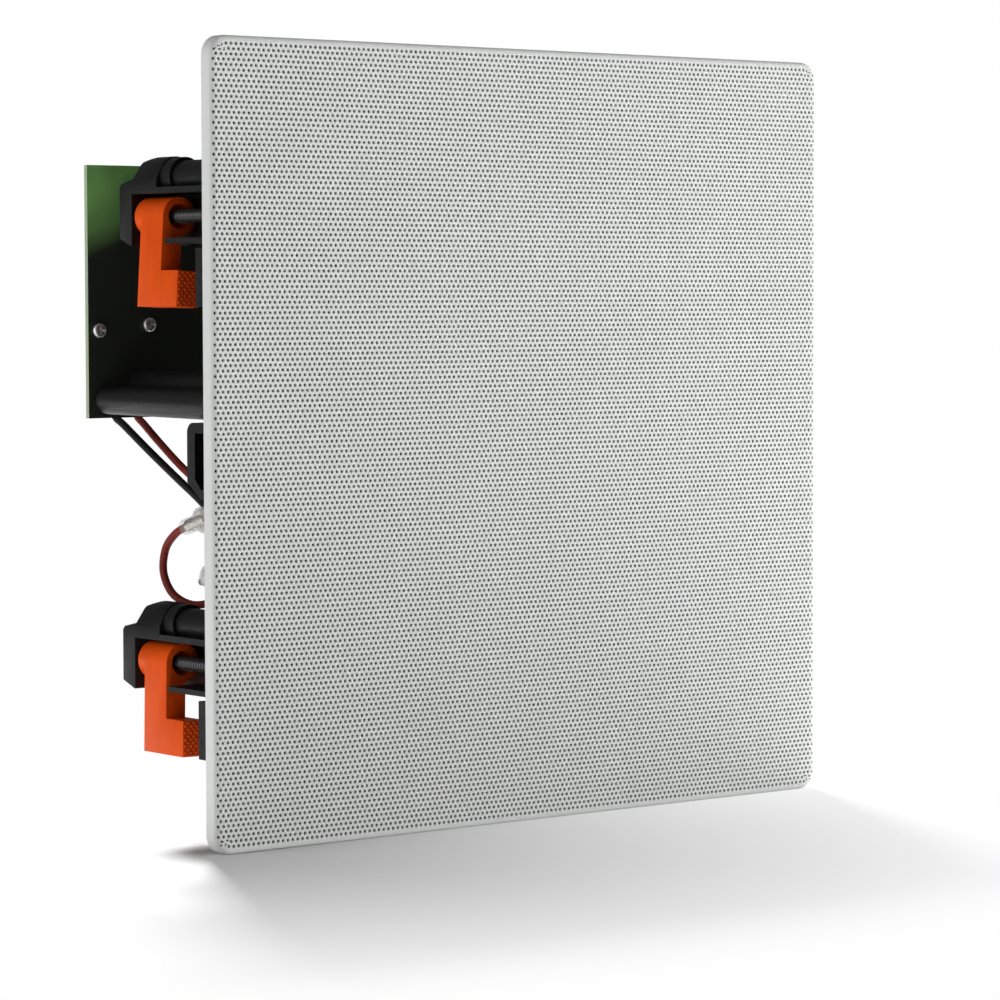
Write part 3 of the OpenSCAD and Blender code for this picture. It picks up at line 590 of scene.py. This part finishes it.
NODE_SLOTS = {
    "grille": "grille_paint", "grille_cloth": "cloth", "grille_magnets": "magnet_plating",
    "frame": "frame_plastic", "cap_screws": "black_steel", "basket": "basket_paint",
    "woofer_screws": "black_steel", "surround": "surround_rubber", "cone": "cone_paper",
    "spider": "spider_cloth", "voice_coil": "coil_former", "top_plate": "motor_steel",
    "ring_magnet": "ferrite", "back_plate": "motor_steel", "tweeter_post": "tweeter_plastic",
    "tweeter_housing": "tweeter_plastic", "tweeter_dome": "dome_metal", "tweeter_ring": "tweeter_plastic",
    "board_pillars": "cap_plastic", "circuit_board": "board_green", "pillar_screws": "bright_steel",
    "board_screws": "bright_steel", "inductors": "copper_wire", "capacitors": "capacitor_sleeve",
    "resistors": "resistor_ceramic", "terminal_block": "terminal_plastic",
    "terminal_lever_red": "lever_red", "terminal_lever_black": "terminal_plastic",
    "terminal_strip": "strip_board", "push_on_terminals": "tinned_brass",
    "terminal_sleeves": "clear_sleeve", "red_lead": "lead_red", "black_lead": "lead_black",
    **{f"end_cap_{k}": "cap_plastic" for k in range(1, 5)},
    **{f"clamp_screw_{k}": "black_steel" for k in range(1, 5)},
    **{f"dog_leg_{k}": "clamp_plastic" for k in range(1, 5)},
}


# Materials made so far, by finish
FINISHED = {}


def paint(piece, slot, finish=None):
    """Gives a piece the finish named by its slot, or another finish where one is named."""
    finish = finish or slot
    if finish not in FINISHED:
        FINISHED[finish] = MATERIALS[finish]()
    material = FINISHED[finish]
    piece.data.materials.clear()
    piece.data.materials.append(material)


# Stage

# The camera's place, the line it looks along and its upward lean, in metres
CAMERA_PLACE = (-0.7029, -0.8748, 0.0439)
CAMERA_LINE = (0.6206, 0.7821, -0.0560)
CAMERA_UP = (0.0368, 0.0423, 0.9984)
# Middle and radius of the stretch of floor that shows its shadow, in metres; past it a painted white glow,
# seen by the camera alone, fades the shadow out
SHADOW_MIDDLE = (-0.10, 0.01)
SHADOW_REACH = 0.25


class SPEAKER_OT_stage(bpy.types.Operator):
    """Adds the camera, the lights, the white surroundings and the pale floor"""
    bl_idname = "speaker.stage"
    bl_label = "Set the Stage"

    def execute(self, context):
        settings = context.scene.speaker_stage
        context.scene.view_settings.view_transform = "Standard"
        self.camera(settings)
        self.lamp("back_key", (0.56, 1.11, 1.45), 0.30, settings.key)
        self.lamp("right_front", (1.0, -0.85, -0.05), 0.5, settings.fill)
        self.lamp("left_side", (-1.9, 0.35, 0.5), 1.0, settings.side)
        self.surroundings(context.scene)
        self.floor()
        return {"FINISHED"}

    def camera(self, settings):
        bpy.ops.object.camera_add(location=CAMERA_PLACE)
        camera = bpy.context.object
        back = -Vector(CAMERA_LINE).normalized()
        right = Vector(CAMERA_UP).cross(back).normalized()
        up = back.cross(right)
        turn = [[right[k], up[k], back[k]] for k in range(3)]
        camera.rotation_mode = "QUATERNION"
        camera.rotation_quaternion = Matrix(turn).to_quaternion()
        camera.data.lens = settings.lens
        camera.data.sensor_width = 36.0
        camera.data.clip_start = 0.05
        bpy.context.scene.camera = camera

    def lamp(self, name, place, size, power):
        """A square soft light that faces the middle of the speaker."""
        bpy.ops.object.light_add(type="AREA", location=place)
        lamp = bpy.context.object
        lamp.name = name
        lamp.data.size = size
        lamp.data.energy = power
        lamp.rotation_euler = (-Vector(place)).to_track_quat("-Z", "Y").to_euler()

    def surroundings(self, scene):
        world = bpy.data.worlds.new("studio")
        scene.world = world
        world.use_nodes = True
        tree = world.node_tree
        background = tree.nodes["Background"]
        background.inputs["Color"].default_value = (1, 1, 1, 1)
        background.inputs["Strength"].default_value = 0.18
        white = node(tree, "ShaderNodeBackground", Color=(1, 1, 1, 1), Strength=1.0)
        seen = self.seen(tree)
        blend = tree.nodes.new("ShaderNodeMixShader")
        tree.links.new(seen, blend.inputs["Fac"])
        tree.links.new(background.outputs[0], blend.inputs[1])
        tree.links.new(white.outputs[0], blend.inputs[2])
        tree.links.new(blend.outputs[0], tree.nodes["World Output"].inputs["Surface"])

    def seen(self, tree):
        """One for rays that come straight from the camera."""
        rays = tree.nodes.new("ShaderNodeLightPath")
        return rays.outputs["Is Camera Ray"]

    def floor(self):
        height = MODEL_BOX[0].z - 0.1 * MM
        bpy.ops.mesh.primitive_grid_add(
            x_subdivisions=8, y_subdivisions=8, size=24, location=(0, 0, height))
        floor = named("floor")
        settle(floor)
        material, tree, shader = new_material("floor_paper", (0.86, 0.86, 0.86), 0.95)
        shader.inputs["Specular IOR Level"].default_value = 0.0
        # Painted light: to the camera the floor glows white, the more the further it lies from the shadow's
        # middle, which fades its shadow out
        white = node(tree, "ShaderNodeEmission", Color=(1, 1, 1, 1), Strength=1.0)
        spot = tree.nodes.new("ShaderNodeTexGradient")
        spot.gradient_type = "SPHERICAL"
        middle = Vector((*SHADOW_MIDDLE, height))
        near = object_points(tree, scale=(1 / SHADOW_REACH,) * 3, place=-middle / SHADOW_REACH)
        tree.links.new(near, spot.inputs["Vector"])
        painted_glow = ramp(tree, spot.outputs["Fac"], [(0.0, 1.0), (0.95, 0.0)])
        shown = node(tree, "ShaderNodeMath")
        shown.operation = "MULTIPLY"
        tree.links.new(painted_glow, shown.inputs[0])
        tree.links.new(self.seen(tree), shown.inputs[1])
        blend = tree.nodes.new("ShaderNodeMixShader")
        tree.links.new(shown.outputs[0], blend.inputs["Fac"])
        tree.links.new(shader.outputs[0], blend.inputs[1])
        tree.links.new(white.outputs[0], blend.inputs[2])
        tree.links.new(blend.outputs[0], tree.nodes["Material Output"].inputs["Surface"])
        floor.data.materials.append(material)
        lit = bpy.data.collections.new("lit_by_back_key")
        lit.objects.link(floor)
        bpy.data.objects["back_key"].light_linking.receiver_collection = lit


# Places and sizes

# Places of the clamps: axis across and up in millimetres, turn of its side, lean of its dog-leg
CLAMPS = ((-93, 65.5, 0, 3.5), (-93, -65.5, 0, 1), (93, 65.5, 180, 1.5), (93, -65.5, 180, 1))
# A foot's knurled front in millimetres from the screw's axis, its depth behind the flange's back,
# and the points in a row before they are cut to it
FOOT_LOW = (-5.5, -26.5)
FOOT_HIGH = (1.5, -16.3)
FOOT_FRONT = 35.1
FOOT_POINTS = 16
# Faces of a thread's tube round the screw and along one turn
THREAD_SIDES = 20
THREAD_STEPS = 6
# Outer and inner radii in millimetres for the surround and the spider, passed to each sector but not used
BENDS = {"surround": (70.5, 62.0), "spider": (46.5, 16.0)}
# Rounding of the moulded edges beside the clamps, in millimetres
MOULDED_EDGES = {"board_pillars": 1.2, "terminal_block": 0.4, "terminal_sleeves": 0.12}
# Places of the crimp rings along a push-on terminal, in millimetres
CRIMPS = (13.0, 17.5)
# Places of the board's cross-headed screws, across and up in millimetres
BOARD_SCREWS = ((-95.4, 31.9), (-77.5, 33.5))
# Places of the push-on terminals in millimetres, their tilt downwards and turn inwards in degrees
TABS = ((-87, -20.4, 15, 0), (-88.5, -38, 10, 22))
# Sectors of the surround and of the spider
SECTORS = 12


# Leads

RED_ROUTE = [
    (-76, 86.6, 15.2), (-76, 89, 15.2), (-76, 93.2, 13.6), (-76, 95, 9.6), (-76.1, 93.4, 5.4),
    (-76.8, 88.6, 3), (-79.4, 76, -2.2), (-82.5, 60, -8.5), (-82, 47, -15.5), (-77, 38.5, -26),
    (-74.5, 38, -37), (-77.6, 43.5, -46), (-82.8, 51, -49.4), (-86, 58.6, -47), (-87, 63, -40.5),
    (-87, 61.8, -33), (-87, 56, -28), (-87, 49.32, -25.58)]
BLACK_ROUTE = [
    (-84, 86.6, 15.2), (-84, 89, 15.2), (-84, 93.2, 13.6), (-84, 95, 9.6), (-84, 93.4, 5.4),
    (-84.1, 88.6, 3), (-84.4, 75, -4), (-84, 60, -12), (-82, 49.5, -19), (-78, 46.6, -25.5),
    (-71.5, 48.5, -29), (-67.5, 53.5, -33), (-68.6, 58.6, -38.4), (-73.4, 60, -42.6), (-78, 56, -43),
    (-81.12, 48.26, -41.47)]


def smooth_route(route, steps):
    """The smooth line through the route's points, in metres."""
    points = [Vector(p) * MM for p in route]
    line = []
    for i in range(len(points) - 1):
        a, b = points[max(i - 1, 0)], points[i]
        c, d = points[i + 1], points[min(i + 2, len(points) - 1)]
        for k in range(steps):
            t = k / steps
            line.append((2 * b + (c - a) * t + (2 * a - 5 * b + 4 * c - d) * t ** 2
                         + (3 * b - a - 3 * c + d) * t ** 3) / 2)
    return line + [points[-1]]


class SPEAKER_OT_leads(bpy.types.Operator):
    """Lays the two leads from the board to their push-on terminals"""
    bl_idname = "speaker.leads"
    bl_label = "Lay the Leads"

    def execute(self, context):
        self.lead("red_insulated_lead", "red_lead", RED_ROUTE, "lead_red")
        self.lead("black_insulated_lead", "black_lead", BLACK_ROUTE, "lead_black")
        return {"FINISHED"}

    def lead(self, name, cad_node, route, slot):
        settings = bpy.context.scene.speaker_leads
        line = smooth_route(route, settings.steps)
        bpy.ops.curve.primitive_nurbs_path_add()
        lead = named(name)
        lead.data.splines.clear()
        spline = lead.data.splines.new("POLY")
        spline.points.add(len(line) - 1)
        for point, place in zip(spline.points, line):
            point.co = (*place, 1)
        lead.data.bevel_depth = settings.diameter / 2
        lead.data.bevel_resolution = 3
        lead.data.use_fill_caps = True
        spline.use_smooth = True
        paint(lead, slot)
        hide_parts(cad_node)
        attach(lead, "root")


# Grille

class SPEAKER_OT_grille(bpy.types.Operator):
    """Punches the sheet with its staggered holes, folds its rim and gives it its thickness"""
    bl_idname = "speaker.grille"
    bl_label = "Punch and Fold the Grille"

    def execute(self, context):
        settings = context.scene.speaker_grille
        sheet = self.punched_sheet(settings)
        self.add_rim(sheet, settings)
        self.fold(sheet, settings)
        casters = self.shadow_casters()
        for k, quarter in enumerate(self.quarters(sheet), 1):
            casters.objects.link(quarter)
            quarter.name = quarter.data.name = f"grille_quarter_{k}"
            wall = quarter.modifiers.new("wall", "SOLIDIFY")
            wall.thickness = settings.sheet
            wall.offset = -1
            apply_modifiers(quarter)
            shade(quarter, 50)
            paint(quarter, "grille_paint")
            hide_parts("grille")
            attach(quarter, "root")
        return {"FINISHED"}

    def shadow_casters(self):
        """The pieces that stand in the way of the back key. The grille's quarters join them."""
        casters = bpy.data.collections.new("shadow_casters")
        casters.objects.link(NODES["grille_cloth"])
        casters.objects.link(NODES["frame"])
        bpy.data.objects["back_key"].light_linking.blocker_collection = casters
        return casters

    def punched_sheet(self, s):
        """The flat sheet up to its first fold line. Its faces join each hole straight to its neighbours,
        which an array of one modelled cell can't do at the ragged ends of the staggered rows."""
        step = s.hole_pitch * math.sin(math.radians(60))
        radius = s.hole_size / 2
        self.half_x = (s.columns - 1) / 2 * s.hole_pitch + radius + s.side_margin
        self.half_z = (s.rows - 1) / 2 * step + radius + s.end_margin
        ring = [(radius * math.cos(turn), radius * math.sin(turn))
                for turn in (math.radians(22.5 + 45 * k) for k in range(8))]
        flat, faces, rows = [], [], []
        for j in range(s.rows):
            count = s.columns - j % 2
            z = (j - (s.rows - 1) / 2) * step
            row = []
            for i in range(count):
                x = (i - (count - 1) / 2) * s.hole_pitch
                row.append(len(flat))
                flat.extend((x + dx, z + dz) for dx, dz in ring)
            rows.append(row)

        def edge_point(x, z):
            flat.append((x, z))
            return len(flat) - 1

        ends = []
        for row in rows:
            low, high = flat[row[0] + 4][1], flat[row[0] + 3][1]
            ends.append([edge_point(x, z) for x in (-self.half_x, self.half_x) for z in (low, high)])
        for row, (left_low, left_high, right_low, right_high) in zip(rows, ends):
            faces.append((left_low, row[0] + 4, row[0] + 3, left_high))
            faces.append((row[-1] + 7, right_low, right_high, row[-1]))
            faces.extend((a + 7, b + 4, b + 3, a) for a, b in zip(row, row[1:]))
        for j in range(s.rows - 1):
            low, high = rows[j], rows[j + 1]
            wide = len(low) > len(high)
            above = high if wide else high[1:-1]
            below = low[1:-1] if wide else low
            faces.extend((a, b + 3, b + 2, c + 6, c + 5, a + 1) for a, b, c in zip(low, low[1:], above))
            faces.extend((b + 1, d + 5, d + 4, c + 7, c + 6, b + 2) for c, d, b in zip(high, high[1:], below))
            a, c = low[-1], high[-1]
            inner = (c + 7, c + 6, a + 2, a + 1) if wide else (c + 7, c + 6, c + 5, a + 1)
            faces.append((a, ends[j][3], ends[j + 1][2], *inner))
            a, c = low[0], high[0]
            inner = (a + 3, a + 2, a + 1, c + 5, c + 4) if wide else (a + 3, a + 2, c + 6, c + 5, c + 4)
            faces.append((ends[j][1], *inner, ends[j + 1][0]))
        bottom, top = rows[0], rows[-1]
        under = [[edge_point(flat[a + k][0], -self.half_z) for k in (5, 6)] for a in bottom]
        over = [[edge_point(flat[a + k][0], self.half_z) for k in (2, 1)] for a in top]
        faces.extend((p, q, a + 6, a + 5) for a, (p, q) in zip(bottom, under))
        faces.extend((a + 2, a + 1, q, p) for a, (p, q) in zip(top, over))
        faces.extend((p[1], q[0], b + 5, b + 4, a + 7, a + 6)
                     for a, b, p, q in zip(bottom, bottom[1:], under, under[1:]))
        faces.extend((a + 1, a, b + 3, b + 2, q[0], p[1])
                     for a, b, p, q in zip(top, top[1:], over, over[1:]))
        a, b = bottom[0], bottom[-1]
        faces.append((edge_point(-self.half_x, -self.half_z), under[0][0], a + 5, a + 4, ends[0][0]))
        faces.append((under[-1][1], edge_point(self.half_x, -self.half_z), ends[0][2], b + 7, b + 6))
        a, b = top[0], top[-1]
        faces.append((ends[-1][1], a + 3, a + 2, over[0][0], edge_point(-self.half_x, self.half_z)))
        faces.append((b + 1, b, ends[-1][3], edge_point(self.half_x, self.half_z), over[-1][1]))
        mesh = bpy.data.meshes.new("grille_sheet")
        mesh.from_pydata([(x, 0, z) for x, z in flat], [], faces)
        sheet = bpy.data.objects.new("grille_sheet", mesh)
        bpy.context.scene.collection.objects.link(sheet)
        return sheet

    def add_rim(self, sheet, s):
        """Extrudes the sheet's outer edge outwards, loop by loop, across the fold and down the rim."""
        fold_line = MODEL_BOX[1].x - s.fold
        arc = s.fold * math.pi / 2
        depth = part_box("grille")[1].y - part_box("grille")[0].y
        activate(sheet)
        bpy.ops.object.mode_set(mode="EDIT")
        bpy.ops.mesh.select_mode(type="VERT")
        bpy.ops.mesh.select_all(action="DESELECT")
        bpy.ops.object.mode_set(mode="OBJECT")
        for vertex in sheet.data.vertices:
            vertex.select = (abs(vertex.co.x) > self.half_x - 1e-6 or abs(vertex.co.z) > self.half_z - 1e-6)
        bpy.ops.object.mode_set(mode="EDIT")
        bpy.ops.mesh.select_mode(type="EDGE")
        half_x, half_z = self.half_x, self.half_z
        for share in (0.25, 0.5, 0.75, 1.0):
            across = self.half_x + (fold_line + arc - self.half_x) * share
            tall = self.half_z + (fold_line + arc - self.half_z) * share
            bpy.ops.mesh.extrude_edges_move()
            bpy.ops.transform.resize(value=(across / half_x, 1, tall / half_z), center_override=(0, 0, 0))
            half_x, half_z = across, tall
        outer = fold_line + arc + depth - s.fold
        bpy.ops.mesh.extrude_edges_move()
        bpy.ops.transform.resize(value=(outer / half_x, 1, outer / half_z), center_override=(0, 0, 0))
        bpy.ops.object.mode_set(mode="OBJECT")

    def fold(self, sheet, s):
        """Bends what lies past the fold line back over the edge and draws the corners round."""
        count = len(sheet.data.vertices)
        place = np.empty(count * 3)
        sheet.data.vertices.foreach_get("co", place)
        place = place.reshape(-1, 3)
        fold_line = MODEL_BOX[1].x - s.fold
        centre = MODEL_BOX[1].x - s.corner
        x, z = np.abs(place[:, 0]), np.abs(place[:, 2])
        in_corner = (x > centre) & (z > centre)
        reach = np.maximum(x, z)
        past = np.clip(reach - fold_line, 0, None)
        angle = np.clip(past / s.fold, 0, math.pi / 2)
        out = np.where(past > 0, s.fold * np.sin(angle), 0)
        depth = s.fold * (1 - np.cos(angle)) + np.clip(past - s.fold * math.pi / 2, 0, None)
        folded = np.minimum(reach, fold_line) + out
        turn = np.arctan2(z - centre, x - centre)
        new_x = np.where(in_corner, centre + (folded - centre) * np.cos(turn), np.where(x >= z, folded, x))
        new_z = np.where(in_corner, centre + (folded - centre) * np.sin(turn), np.where(x >= z, z, folded))
        place[:, 0] = np.sign(place[:, 0]) * new_x
        place[:, 2] = np.sign(place[:, 2]) * new_z
        place[:, 1] = MODEL_BOX[0].y + depth
        sheet.data.vertices.foreach_set("co", place.ravel())
        sheet.data.update()

    def quarters(self, sheet):
        """Parts the sheet in four along the edges of its faces, to keep each mesh small."""
        for test in (lambda c, n: c.x > 0, lambda c, n: c.z > 0):
            for piece in [o for o in bpy.context.scene.objects if o.name.startswith("grille_sheet")]:
                activate(piece)
                select_faces(piece, test)
                bpy.ops.mesh.separate(type="SELECTED")
                bpy.ops.object.mode_set(mode="OBJECT")
        return sorted((o for o in bpy.context.scene.objects if o.name.startswith("grille_sheet")),
                      key=lambda o: o.name)


# Clamps

class SPEAKER_OT_clamps(bpy.types.Operator):
    """Rounds the moulded edges of the caps and dog-legs, knurls the feet and threads the screws"""
    bl_idname = "speaker.clamps"
    bl_label = "Finish the Clamps"

    def execute(self, context):
        settings = context.scene.speaker_clamps
        for k, (x, z, turn, lean) in enumerate(CLAMPS, 1):
            paint(soften(f"end_cap_{k}", settings.edge, 3), "cap_plastic")
            paint(soften(f"dog_leg_{k}", settings.edge * 0.7, 3), "clamp_plastic")
            turned = Matrix.Rotation(math.radians(turn + lean), 4, "Y")
            place = Matrix.Translation((x * MM, 0, z * MM)) @ turned
            self.knurl(f"foot_knurl_{k}", f"dog_leg_{k}", place, settings)
            self.thread(f"clamp_screw_{k}", place.translation, settings)
        return {"FINISHED"}

    def knurl(self, name, body, place, settings):
        """Pyramids in a diamond pattern, cut to the foot's front face and closed at the back."""
        side = settings.knurl_pitch / math.sqrt(2)
        low, high = (Vector((x, 0, z)) * MM for x, z in (FOOT_LOW, FOOT_HIGH))
        middle = (low + high) / 2
        front = FOOT_FRONT * MM
        bpy.ops.mesh.primitive_grid_add(
            x_subdivisions=FOOT_POINTS, y_subdivisions=FOOT_POINTS, size=FOOT_POINTS * side,
            rotation=(math.radians(90), math.radians(45), 0), location=(middle.x, front, middle.z))
        pad = named(name)
        settle(pad)
        bpy.ops.object.mode_set(mode="EDIT")
        bpy.ops.mesh.select_all(action="SELECT")
        bpy.ops.mesh.poke(offset=settings.knurl_depth)
        for corner, outwards in ((low, (-1, 0, 0)), (low, (0, 0, -1)), (high, (1, 0, 0)), (high, (0, 0, 1))):
            bpy.ops.mesh.select_all(action="SELECT")
            bpy.ops.mesh.bisect(plane_co=corner, plane_no=outwards, clear_outer=True)
        bpy.ops.mesh.select_mode(type="EDGE")
        bpy.ops.mesh.select_all(action="DESELECT")
        bpy.ops.mesh.select_non_manifold()
        bpy.ops.mesh.extrude_edges_move()
        bpy.ops.transform.resize(value=(1, 0, 1), center_override=(0, front + 0.3 * MM, 0))
        bpy.ops.mesh.edge_face_add()
        bpy.ops.mesh.select_all(action="SELECT")
        bpy.ops.mesh.normals_make_consistent(inside=False)
        bpy.ops.object.mode_set(mode="OBJECT")
        pad.data.transform(place)
        paint(pad, "clamp_plastic")
        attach(pad, body)

    def thread(self, name, axis, settings):
        """The screw's shank drawn in to its core, inside a tube whose wall rises and falls as a thread."""
        screw = tidy_copy(name, name + "_threaded")
        crest = settings.screw_radius
        core = crest - settings.thread_depth
        low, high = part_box(name)
        start, end = low.y + settings.thread_start, high.y
        for vertex in screw.data.vertices:
            across = Vector((vertex.co.x - axis.x, 0, vertex.co.z - axis.z))
            if vertex.co.y > start - 0.1 * MM and across.length < crest + 0.05 * MM:
                slim = across * ((core - 0.1 * MM) / across.length)
                vertex.co.x, vertex.co.z = axis.x + slim.x, axis.z + slim.z
        turns = (end - start) / settings.thread_pitch
        bpy.ops.mesh.primitive_grid_add(
            x_subdivisions=THREAD_SIDES, y_subdivisions=round(turns * THREAD_STEPS), size=1)
        tube = named(name + "_tube")
        crest_mark = tube.data.attributes.new("crest", "FLOAT", "POINT")
        for vertex in tube.data.vertices:
            around, along = vertex.co.x + 0.5, vertex.co.y + 0.5
            y = start + along * (end - start)
            rise = 1 - abs(2 * ((y / settings.thread_pitch - around) % 1.0) - 1)
            # The crest mark also places the painted highlight and shade of the thread's finish
            crest_mark.data[vertex.index].value = rise
            radius = core + (crest - core) * rise
            angle = around * 2 * math.pi
            vertex.co = (axis.x + radius * math.cos(angle), y, axis.z + radius * math.sin(angle))
        activate(tube)
        bpy.ops.object.mode_set(mode="EDIT")
        bpy.ops.mesh.select_all(action="SELECT")
        bpy.ops.mesh.remove_doubles(threshold=0.000002)
        bpy.ops.mesh.select_all(action="DESELECT")
        bpy.ops.mesh.select_mode(type="EDGE")
        bpy.ops.mesh.select_non_manifold()
        bpy.ops.mesh.fill_holes(sides=0)
        bpy.ops.mesh.select_all(action="SELECT")
        bpy.ops.mesh.normals_make_consistent(inside=False)
        bpy.ops.object.mode_set(mode="OBJECT")
        activate(screw)
        tube.select_set(True)
        bpy.ops.object.join()
        shade(screw, 40)
        paint(screw, "black_steel", "thread_steel")
        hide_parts(name)
        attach(screw, NODES[name]["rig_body"])


# Board

class SPEAKER_OT_board(bpy.types.Operator):
    """Rounds the pillars and the block behind the board and makes its cross-headed screws"""
    bl_idname = "speaker.board"
    bl_label = "Finish the Board's Parts"

    def execute(self, context):
        settings = context.scene.speaker_board
        for name, width in MOULDED_EDGES.items():
            paint(soften(name, width * MM, 4), NODE_SLOTS[name])
        for k, (x, z) in enumerate(BOARD_SCREWS, 1):
            self.crossed_screw(f"board_screw_{k}", x * MM, z * MM, settings)
        for k, (x, z, tilt, inwards) in enumerate(TABS, 1):
            out = self.pointing(math.radians(tilt), math.radians(inwards))
            base = Vector((x * MM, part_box("terminal_strip")[0].y + 2 * MM, z * MM))
            for n, reach in enumerate(CRIMPS, 1):
                self.crimp(f"crimp_{k}_{n}", base + out * (reach * MM), out, settings)
        return {"FINISHED"}

    def bar(self, x, y0, y1, z, radius):
        bpy.ops.mesh.primitive_cylinder_add(vertices=32, radius=radius, depth=y1 - y0,
                                            location=(x, (y0 + y1) / 2, z), rotation=(math.radians(90), 0, 0))
        return bpy.context.object

    def crossed_screw(self, name, x, z, s):
        """A screw with a rounded head, a cross cut in its face and a plain shank."""
        low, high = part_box("board_screws")
        head_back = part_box("circuit_board")[0].y
        head = self.bar(x, low.y, head_back, z, s.head_radius)
        settle(head)
        dome = head.modifiers.new("dome", "BEVEL")
        dome.width = s.head_rounding
        dome.segments = 5
        dome.limit_method = "ANGLE"
        apply_modifiers(head)
        cutters = []
        for size in ((s.cross_length, s.cross_depth, s.cross_width),
                     (s.cross_width, s.cross_depth, s.cross_length)):
            bpy.ops.mesh.primitive_cube_add(size=1, location=(x, low.y + 0.1 * MM, z))
            bpy.context.object.scale = size
            settle(bpy.context.object)
            cutters.append(bpy.context.object)
        for cutter in cutters:
            cut = head.modifiers.new("cross", "BOOLEAN")
            cut.object = cutter
            cut.solver = "EXACT"
        apply_modifiers(head)
        for cutter in cutters:
            bpy.data.objects.remove(cutter)
        shank = self.bar(x, head_back, high.y, z, s.shank_radius)
        settle(shank)
        activate(head)
        shank.select_set(True)
        bpy.ops.object.join()
        named(name)
        shade(head, 30)
        paint(head, "bright_steel")
        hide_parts("board_screws")
        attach(head, "root")

    def pointing(self, tilt, inwards):
        """The way out along a push-on terminal."""
        level = math.cos(tilt)
        return Vector((math.sin(inwards) * level, math.cos(inwards) * level, -math.sin(tilt)))

    def crimp(self, name, place, out, s):
        """A bright ring pressed round the barrel of a push-on terminal."""
        bpy.ops.mesh.primitive_torus_add(
            major_radius=s.crimp_radius, minor_radius=s.crimp_wire,
            major_segments=32, minor_segments=10, location=place)
        ring = named(name)
        ring.rotation_euler = out.to_track_quat("Z", "Y").to_euler()
        settle(ring)
        shade(ring, 60)
        paint(ring, "tinned_brass")
        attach(ring, "root")


# Drivers

class SPEAKER_OT_drivers(bpy.types.Operator):
    """Cuts the surround and the spider in closed sectors"""
    bl_idname = "speaker.drivers"
    bl_label = "Hang the Cone"

    def execute(self, context):
        for name, (outer, inner) in BENDS.items():
            whole = tidy_copy(name, name + "_whole")
            for k in range(SECTORS):
                self.sector(whole, name, k, outer * MM, inner * MM)
            bpy.data.objects.remove(whole)
        return {"FINISHED"}

    def sector(self, whole, name, k, outer, inner):
        """One closed sector of the part; the outer and inner radii are not used."""
        piece = whole.copy()
        piece.data = whole.data.copy()
        piece.name = piece.data.name = f"{name}_sector_{k + 1}"
        bpy.context.scene.collection.objects.link(piece)
        activate(piece)
        half = math.pi / SECTORS
        middle = 2 * half * k
        bpy.ops.object.mode_set(mode="EDIT")
        for side in (-1, 1):
            edge = middle + side * half
            away = (-side * math.sin(edge), 0, side * math.cos(edge))
            bpy.ops.mesh.select_all(action="SELECT")
            bpy.ops.mesh.bisect(plane_co=(0, 0, 0), plane_no=away, clear_outer=True, use_fill=True)
        bpy.ops.object.mode_set(mode="OBJECT")
        shade(piece, 40)
        paint(piece, NODE_SLOTS[name])
        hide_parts(name)
        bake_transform(piece)


# Finishes

class SPEAKER_OT_finishes(bpy.types.Operator):
    """Gives each shown CAD node its material"""
    bl_idname = "speaker.finishes"
    bl_label = "Paint the Parts"

    def execute(self, context):
        for name, piece in NODES.items():
            if not piece.hide_render:
                paint(piece, NODE_SLOTS[name])
        return {"FINISHED"}


class SPEAKER_PT_panel(bpy.types.Panel):
    bl_label = "Ceiling Speaker"
    bl_idname = "SPEAKER_PT_panel"
    bl_space_type = "VIEW_3D"
    bl_region_type = "UI"
    bl_category = "Speaker"

    def draw(self, context):
        for operator in OPERATORS:
            self.layout.operator(operator.bl_idname)
        for group, settings in GROUPS.items():
            box = self.layout.box()
            for name in settings.__annotations__:
                box.prop(getattr(context.scene, group), name)


OPERATORS = (
    SPEAKER_OT_stage,
    SPEAKER_OT_leads,
    SPEAKER_OT_grille,
    SPEAKER_OT_clamps,
    SPEAKER_OT_board,
    SPEAKER_OT_drivers,
    SPEAKER_OT_finishes,
)
CLASSES = (*GROUPS.values(), *OPERATORS, SPEAKER_PT_panel)


def register():
    for cls in CLASSES:
        bpy.utils.register_class(cls)
    for name, settings in GROUPS.items():
        setattr(bpy.types.Scene, name, PointerProperty(type=settings))


def unregister():
    for name in GROUPS:
        delattr(bpy.types.Scene, name)
    for cls in reversed(CLASSES):
        bpy.utils.unregister_class(cls)


def main():
    register()
    bpy.ops.speaker.stage()
    bpy.ops.speaker.leads()
    bpy.ops.speaker.grille()
    bpy.ops.speaker.clamps()
    bpy.ops.speaker.board()
    bpy.ops.speaker.drivers()
    bpy.ops.speaker.finishes()
    bpy.context.view_layer.update()


if __name__ == "__main__":
    main()
